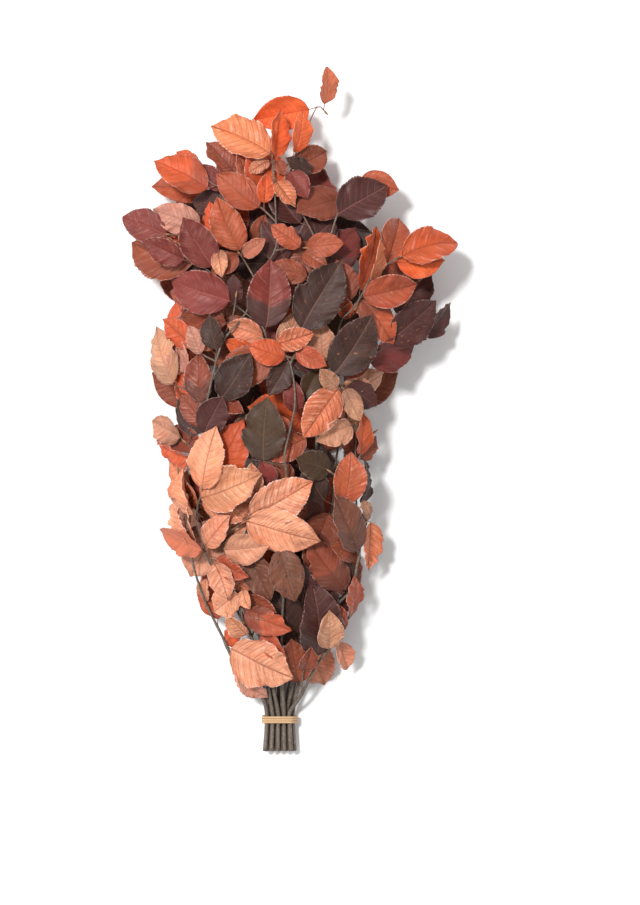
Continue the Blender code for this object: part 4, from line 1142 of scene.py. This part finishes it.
# %% Fine wood
WOOD_STEP = 5 * MM
KNOT_REACH = 4 * MM
BUNDLED = 12
BARK_TONE = linear(102, 90, 80)
YOUNG_TONE = linear(114, 92, 78)
BUD_TONE = linear(168, 118, 78)
CUT_TONE = linear(206, 178, 138)
BUD_SWELL = [.55, .8, 1, 1, .85, .6, .3, .08]


def knots(route, spray):
    """Swelling of each ring: thicker where a leaf or a twig joins, and never quite even."""
    joins = [leaf.root for leaf in spray.leaves] + [twig[0] for twig in spray.twigs]
    grown = random.Random(spray.name + " wood").uniform(.88, 1.04)
    swell = []
    for k, point in enumerate(route):
        near = min((point - join).length for join in joins)
        slim = .84 - .16 * min(1, max(0, k - BUNDLED) / BUNDLED)
        swell.append(slim * grown + .22 * max(0, 1 - near / KNOT_REACH) + .07 * noise.noise(point / (9 * MM)))
    return swell


def bud(end, ahead, sheet):
    """A pointed winter bud on the end of a twig."""
    route = [end + ahead * MM * 1.3 * k for k in range(len(BUD_SWELL))]
    return wood(route, (1.25 * MM, 1.25 * MM), 8, BUD_TONE, sheet.cell(), BUD_SWELL)


def show_cut(bm):
    """Pale wood and a darker pith on the cut end of a stem."""
    values = Values(bm)
    end = min(bm.faces, key=lambda face: face.calc_center_median().y)
    for share, tone in ((.14, CUT_TONE), (.5, CUT_TONE), (.12, BARK_TONE)):
        width = share * math.sqrt(end.calc_area() / math.pi)
        bmesh.ops.inset_region(bm, faces=[end], thickness=width)
        for vert in end.verts:
            vert[values.tone] = (*tone, 1)


# %% [markdown]
# ## Finishes as expressions
#
# A procedural material is a sum of many small nodes, and drawn by hand it soon becomes hard to read. Here a
# socket is wrapped so that plain arithmetic on it adds the nodes: 1 - mask makes a Subtract node. All other
# nodes come from one method that takes the node's type, its settings and its sockets.

# %% Shader arithmetic
def operator(operation, reflected=False):
    """A method that adds a Math node, with its two sides swapped for the reflected form."""
    def method(self, *others):
        sides = (*others, self) if reflected else (self, *others)
        return self.finish.node("Math", {"operation": operation}, dict(enumerate(sides)))
    return method


class Socket:
    """A node's output that arithmetic can be done with."""

    def __init__(self, finish, output):
        self.finish, self.output = finish, output

    __add__, __radd__ = operator("ADD"), operator("ADD", reflected=True)
    __mul__, __rmul__ = operator("MULTIPLY"), operator("MULTIPLY", reflected=True)
    __sub__, __rsub__ = operator("SUBTRACT"), operator("SUBTRACT", reflected=True)
    __mod__, __gt__, __abs__ = operator("FLOORED_MODULO"), operator("GREATER_THAN"), operator("ABSOLUTE")
    or_larger = operator("MAXIMUM")


class Finish:
    """A material under construction, whose nodes end in one Principled shader."""

    def __init__(self, name, roughness, specular):
        self.material = bpy.data.materials.new(name)
        self.material.use_nodes = True
        self.shader = self.material.node_tree.nodes["Principled BSDF"]
        self.feed(self.shader, {"Roughness": roughness, "Specular IOR Level": specular})

    def node(self, kind, settings=None, sockets=None, output=0):
        node = self.material.node_tree.nodes.new("ShaderNode" + kind)
        for name, value in (settings or {}).items():
            setattr(node, name, value)
        self.feed(node, sockets or {})
        return Socket(self, node.outputs[output])

    def feed(self, node, sockets):
        for name, value in sockets.items():
            if isinstance(value, Socket):
                self.material.node_tree.links.new(value.output, node.inputs[name])
            else:
                node.inputs[name].default_value = value

    def value(self, name):
        return self.node("Attribute", {"attribute_name": name}, output="Fac")

    def colour(self, name):
        return self.node("Attribute", {"attribute_name": name}, output="Color")

    def ramp(self, value, low, high):
        """0 below low and 1 above high, smooth between them; low may be the larger."""
        return self.node("MapRange", {"interpolation_type": "SMOOTHSTEP"},
                         {"Value": value, "From Min": low, "From Max": high})

    def mix(self, share, one, two, blend="MIX"):
        """Colour one, turned towards colour two by a share."""
        return self.node("Mix", {"data_type": "RGBA", "blend_type": blend},
                         {0: share, 6: one, 7: two}, output=2)

    def tint(self, share, colour, factors):
        """A colour that is multiplied by factors to a share."""
        return self.mix(share, colour, self.mix(1.0, colour, (*factors, 1), "MULTIPLY"))

    def noise(self, place, scale, detail=3):
        return self.node("TexNoise", {}, {"Vector": place, "Scale": scale, "Detail": detail})

    def vector(self, x, y, z):
        return self.node("CombineXYZ", {}, {"X": x, "Y": y, "Z": z})

    def done(self, inputs, *bump):
        """The material, with a bump's height, distance and strength if they are given."""
        self.feed(self.shader, inputs)
        if bump:
            sockets = dict(zip(("Height", "Distance", "Strength"), bump))
            self.feed(self.shader, {"Normal": self.node("Bump", {}, sockets)})
        return self.material


# %% [markdown]
# ## Dry leaf
#
# A dried leaf is thin, slightly waxy skin. Side veins show as fine darker lines on a bright blade and as
# paler ones on a dark blade, and the skin between them is streaked and flushed. Painted shade darkens cloudy
# patches and the foot of every blade. Raised pleats get a pale bloom with a painted highlight, and the rim a
# painted highlight. Some leaves have a foot darkened to near black. A worn leaf has flecks, and pinholes
# painted as dots of shade. Because s and t travel with each leaf, the lines are drawn on the leaf itself
# instead of being projected through the bunch.

# %% Leaf finish
PALE_BLOOM_AND_HIGHLIGHT = (.90, .56, .42, 1)
RIM_HIGHLIGHT = (.92, .64, .54, 1)
DARK_FOOT_COLOUR = (.045, .028, .024, 1)
FLECK = (.30, .10, .035, 1)
PINHOLE_SHADE = (.02, .012, .01, 1)
UNDERSIDE = (.52, .26, .18, 1)


def leaf_finish():
    def on_leaf(stretch, spread, shift, detail):
        """Noise stretched along and across the blade, and different on each leaf."""
        return leaf.noise(leaf.vector(along * stretch, across * spread, seed + shift), 1.0, detail)

    leaf = Finish("dry_beech_leaf", .42, .34)
    along, across, seed, under, bloom, worn, stain = (
        leaf.value(name) for name in ("along", "across", "seed", "under", "bloom", "worn", "stain"))
    aside = abs(across)
    phase = (along - across * across * VEIN_BEND) * leaf.value("veins") + (across > 0) * .5
    from_vein = abs((phase + .5) % 1 - .5)
    vein = leaf.ramp(from_vein, .06, .01) * leaf.ramp(aside, 1, .6) * .7
    midrib = leaf.ramp(aside * leaf.ramp(abs(along - .45), .62, .2), .045, .015)
    lines = vein.or_larger(midrib)
    streak = leaf.noise(leaf.vector(phase * 2.6, across * 1.8, seed), 1.0, 5)
    cloud, spots, flush = on_leaf(3, 1.8, 0, 3), on_leaf(17, 8, 7, 2), on_leaf(1.8, 1, 23, 2)

    colour = leaf.colour("tone")
    shadow = leaf.ramp(cloud, .32, .68) * .5 + leaf.ramp(along, .5, 0) * .2
    colour = leaf.tint(shadow, colour, (.60, .50, .46))
    colour = leaf.tint(leaf.ramp(aside, .7, 1.0) * .28, colour, (.75, .52, .46))
    colour = leaf.tint(leaf.ramp(flush, .48, .7) * .6, colour, (1.14, .84, .7))
    # Pale bloom together with a painted highlight, on the pleats between the veins, stronger on glossier
    # leaves.
    pale = leaf.ramp(streak, .5, .72) * leaf.ramp(from_vein, .08, .4) * bloom
    colour = leaf.mix(pale * .45, colour, PALE_BLOOM_AND_HIGHLIGHT)
    # Painted highlight: a thin pale line along the rim, broken by the streaks.
    rim_highlight = leaf.ramp(aside, .93, .99) * leaf.ramp(streak, .4, .56) * (bloom * .7 + .12)
    colour = leaf.mix(rim_highlight, colour, RIM_HIGHLIGHT)
    # The foot of some leaves is darkened towards near black, as far as each leaf's share says.
    foot_darkening = leaf.ramp(along + cloud * .3, .62, .54) * stain
    colour = leaf.mix(foot_darkening * .8, colour, DARK_FOOT_COLOUR)
    colour = leaf.mix(lines * leaf.ramp(streak, .2, .5) * (bloom * .3 + .5), colour, leaf.colour("rib"))
    fleck = leaf.ramp(spots, .67, .71) * leaf.ramp(flush, .4, .5) * worn
    colour = leaf.mix(fleck * .8, colour, FLECK)
    dots = leaf.node("TexVoronoi", {}, {"Vector": leaf.vector(along * 9, across * 6, seed), "Scale": 1},
                     "Distance")
    # Painted shade: pinholes are dark dots that stand for the shade seen through a hole.
    hole_shade = leaf.ramp(dots, .25, .19) * leaf.ramp(cloud, .44, .5) * leaf.ramp(worn, .8, 1)
    colour = leaf.mix(hole_shade, colour, PINHOLE_SHADE)
    colour = leaf.mix(under * .3, colour, UNDERSIDE)

    crinkle = abs(on_leaf(13, 6, 0, 2) - .5) * leaf.ramp(cloud, .35, .6)
    pleat = (phase + .5) % 1 * leaf.ramp(aside, .03, .12) * leaf.ramp(streak, .3, .6)
    height = lines * (under * 2 - 1) + streak * 1.2 + pleat * (bloom * 2.2 + .3) - crinkle * 5
    height = height * (bloom * .7 + .3)
    roughness = .5 + leaf.ramp(cloud, .3, .7) * .14 + lines * .1 - bloom * .18
    return leaf.done({"Base Color": colour, "Roughness": roughness}, height, .0008, .7)


LEAF_FINISH = leaf_finish()
print("leaf finish:", len(LEAF_FINISH.node_tree.nodes), "nodes")

# %% [markdown]
# ## Bark, rubber and table
#
# Young beech bark is smooth and grey-brown, with small pale pores and thin lengthwise lines. The rubber is
# plain tan with a matt skin. The table is only a pale ground for the soft shadows.

# %% Bark, rubber and table finishes
def bark_finish():
    bark = Finish("beech_bark", .6, .35)
    place = bark.node("TexCoord", output="Object")
    grain = bark.noise(place, 260, 4)
    patches = bark.noise(place, 60, 3)
    pores = bark.node("TexVoronoi", {"distance": "EUCLIDEAN"}, {"Vector": place, "Scale": 420}, "Distance")
    pore = bark.ramp(pores, .22, .12)
    colour = bark.tint(bark.ramp(patches, .4, .65) * .5, bark.colour("tone"), (.5, .42, .38))
    colour = bark.mix(bark.ramp(grain, .5, .75) * .35, colour, (.36, .31, .27, 1))
    colour = bark.mix(pore * .6, colour, (.42, .34, .26, 1))
    return bark.done({"Base Color": colour, "Roughness": .5 + patches * .25}, grain + pore * .5, .0003, .8)


def rubber_finish():
    rubber = Finish("tan_rubber", .62, .4)
    place = rubber.node("TexCoord", output="Object")
    dust = rubber.noise(place, 180, 4)
    stretch = rubber.noise(rubber.node("Mapping", {}, {"Vector": place, "Scale": (60, 900, 60)}), 1.0, 3)
    colour = rubber.mix(dust * .6, (.56, .36, .19, 1), (.44, .27, .14, 1))
    colour = rubber.mix(rubber.ramp(stretch, .5, .8) * .4, colour, (.66, .48, .30, 1))
    return rubber.done({"Base Color": colour, "Roughness": .5 + dust * .25}, dust * .4 + stretch, .0002, .7)


def table_finish():
    table = Finish("pale_table", .85, .2)
    place = table.node("TexCoord", output="Object")
    colour = table.mix(table.noise(place, 3, 2) * .1, (.93, .93, .93, 1), (.88, .88, .88, 1))
    return table.done({"Base Color": colour})


BARK_FINISH, RUBBER_FINISH, TABLE_FINISH = bark_finish(), rubber_finish(), table_finish()

# %% [markdown]
# ## One piece a spray
#
# Leaves, stalks, twigs, buds and stem of a spray are gathered in one mesh with two materials. Keeping every
# leaf as its own object would be no truer, and 239 objects would be slow to handle.


def object_of(name, bm, *finishes):
    mesh = bpy.data.meshes.new(name)
    bm.to_mesh(mesh)
    bm.free()
    for finish in finishes:
        mesh.materials.append(finish)
    piece = bpy.data.objects.new(name, mesh)
    bpy.context.scene.collection.objects.link(piece)
    return piece


def grow(spray):
    """The fine mesh of a spray as one object, in the frame of the solids."""
    whole = bmesh.new()
    Values(whole)
    sheet = BakeSheet(3 * len(spray.leaves) + 2 * len(spray.twigs) + 1)
    for leaf in spray.leaves:
        habit = Habit(leaf)
        put_in(whole, fine_blade(habit, sheet), 0)
        put_in(whole, stalk(habit, sheet), 1)
    branches = [(spray.points, (STEM_RADIUS, STEM_TIP_RADIUS), 10, BARK_TONE, sheet.top_row)]
    branches += [(twig, (TWIG_RADIUS, TWIG_TIP_RADIUS), 8, YOUNG_TONE, sheet.cell) for twig in spray.twigs]
    for points, radii, sides, tone, room in branches:
        route = smooth_route(points, WOOD_STEP)
        branch = wood(route, radii, sides, tone, room(), knots(route, spray))
        if points is spray.points:
            show_cut(branch)
        put_in(whole, branch, 1)
        put_in(whole, bud(route[-1], (route[-1] - route[-2]).normalized(), sheet), 1)
    whole.transform(TO_FRAME)
    for vert in whole.verts:
        vert.co = [min(max(value, low), high) for value, low, high in zip(vert.co, *cad_box)]
    return object_of(spray.name + "_leaves", whole, LEAF_FINISH, BARK_FINISH)


triangles = 0
for spray in sprays:
    piece = grow(spray)
    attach(piece, "root")
    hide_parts(spray.name)
    piece.data.calc_loop_triangles()
    triangles += len(piece.data.loop_triangles)
print(triangles, "triangles in the sprays")

# %% [markdown]
# ## The rubber band
#
# Growers wind a rubber band tightly round the stems, in a few turns that lie side by side and bite into the
# bundle's outline. Each turn is a closed tube: a circle is copied round the bundle, neighbours are bridged,
# and the last is bridged to the first.

# %% Wind the band
TURN_STATIONS = 96
TURN_SIDES = 10
TURN_RADIUS = 1.38 * MM
# Each turn is a little flatter than round where it presses on the stems.
TURN_FLATNESS = .78
TURN_SPREAD = .94


def wind_turn(bm, number):
    """One closed turn of the band, slightly slanted, with its own give and take."""
    rings = []
    for place, out, angle in round_bundle(TURN_STATIONS, BAND_GAP + BAND_THICK / 2):
        slant = .12 * math.sin(angle + number * 2.1) + .05 * math.sin(5 * angle + number)
        along = ((number + .5) / WINDINGS - .5) * BAND_WIDTH * TURN_SPREAD + slant * MM
        ahead = Vector((-out.z, 0, out.x))
        station = Matrix((out * TURN_FLATNESS, Vector((0, 1, 0)), ahead)).transposed().to_4x4()
        station.translation = place + Vector((0, along, 0))
        ring = bmesh.ops.create_circle(bm, segments=TURN_SIDES, radius=TURN_RADIUS, matrix=station)
        rings.append(list({edge for vert in ring["verts"] for edge in vert.link_edges}))
    for one, two in zip(rings, rings[1:] + rings[:1]):
        bmesh.ops.bridge_loops(bm, edges=one + two)


band = bmesh.new()
for number in range(WINDINGS):
    wind_turn(band, number)
bmesh.ops.recalc_face_normals(band, faces=band.faces)
for face in band.faces:
    face.smooth = True
band.transform(TO_FRAME)
band_piece = object_of("rubber_band_turns", band, RUBBER_FINISH)
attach(band_piece, "root")
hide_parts("rubber_band")
print(WINDINGS, "turns of the band")

# %% [markdown]
# ## Table, light and camera
#
# The photograph is lit softly, a little from the upper left, on white. One sun lamp there gives the form and
# soft shadows, a weaker and much softer one from the left opens them, and a pale surrounding does the rest.
# Sun lamps light the table evenly in every view. The camera looks straight down, from far enough away that
# the tall middle of the bunch isn't enlarged against its edges.

# %% Table
TABLE_HALF = 8
ground = bmesh.new()
bmesh.ops.create_grid(ground, x_segments=1, y_segments=1, size=TABLE_HALF)
table = object_of("table", ground, TABLE_FINISH)

# %% Lights
scene = bpy.context.scene
scene.view_settings.view_transform = "Standard"
scene.world = scene.world or bpy.data.worlds.new("surroundings")
scene.world.use_nodes = True
background = scene.world.node_tree.nodes["Background"]
background.inputs["Color"].default_value = (1, 1, 1, 1)
background.inputs["Strength"].default_value = .6


def lamp(name, towards, softness, strength):
    """Soft light from one direction, the same all over the table."""
    light = bpy.data.lights.new(name, "SUN")
    light.angle, light.energy = softness, strength
    thing = bpy.data.objects.new(name, light)
    thing.rotation_euler = Vector(towards).to_track_quat("Z", "Y").to_euler()
    scene.collection.objects.link(thing)


lamp("window", (-.95, .8, 2.6), .17, 3.05)
lamp("room", (-1.8, .3, 1.2), .8, .6)

# %% Camera
CAMERA_HEIGHT = 4.2
LEAF_HEIGHT = .085
VIEW_ROWS = 905
VIEW_MIDDLE = (320, 452.5)
camera = bpy.data.cameras.new("camera")
camera.sensor_fit = "VERTICAL"
camera.sensor_height = 36
camera.lens = camera.sensor_height * (CAMERA_HEIGHT - LEAF_HEIGHT) / (VIEW_ROWS * PIXEL)
camera.clip_end = 50
eye = bpy.data.objects.new("camera", camera)
eye.location = (SHIFT.x + (VIEW_MIDDLE[0] - PHOTO_MIDDLE[0]) * PIXEL,
                SHIFT.y + (PHOTO_MIDDLE[1] - VIEW_MIDDLE[1]) * PIXEL, CAMERA_HEIGHT)
scene.collection.objects.link(eye)
scene.camera = eye
print("lens", round(camera.lens, 1), "mm")

# %% [markdown]
# ## Size, and the end
#
# The fine model must not be larger than the solids it stands for, so each spray's points are kept within
# the solids' box as it is grown.
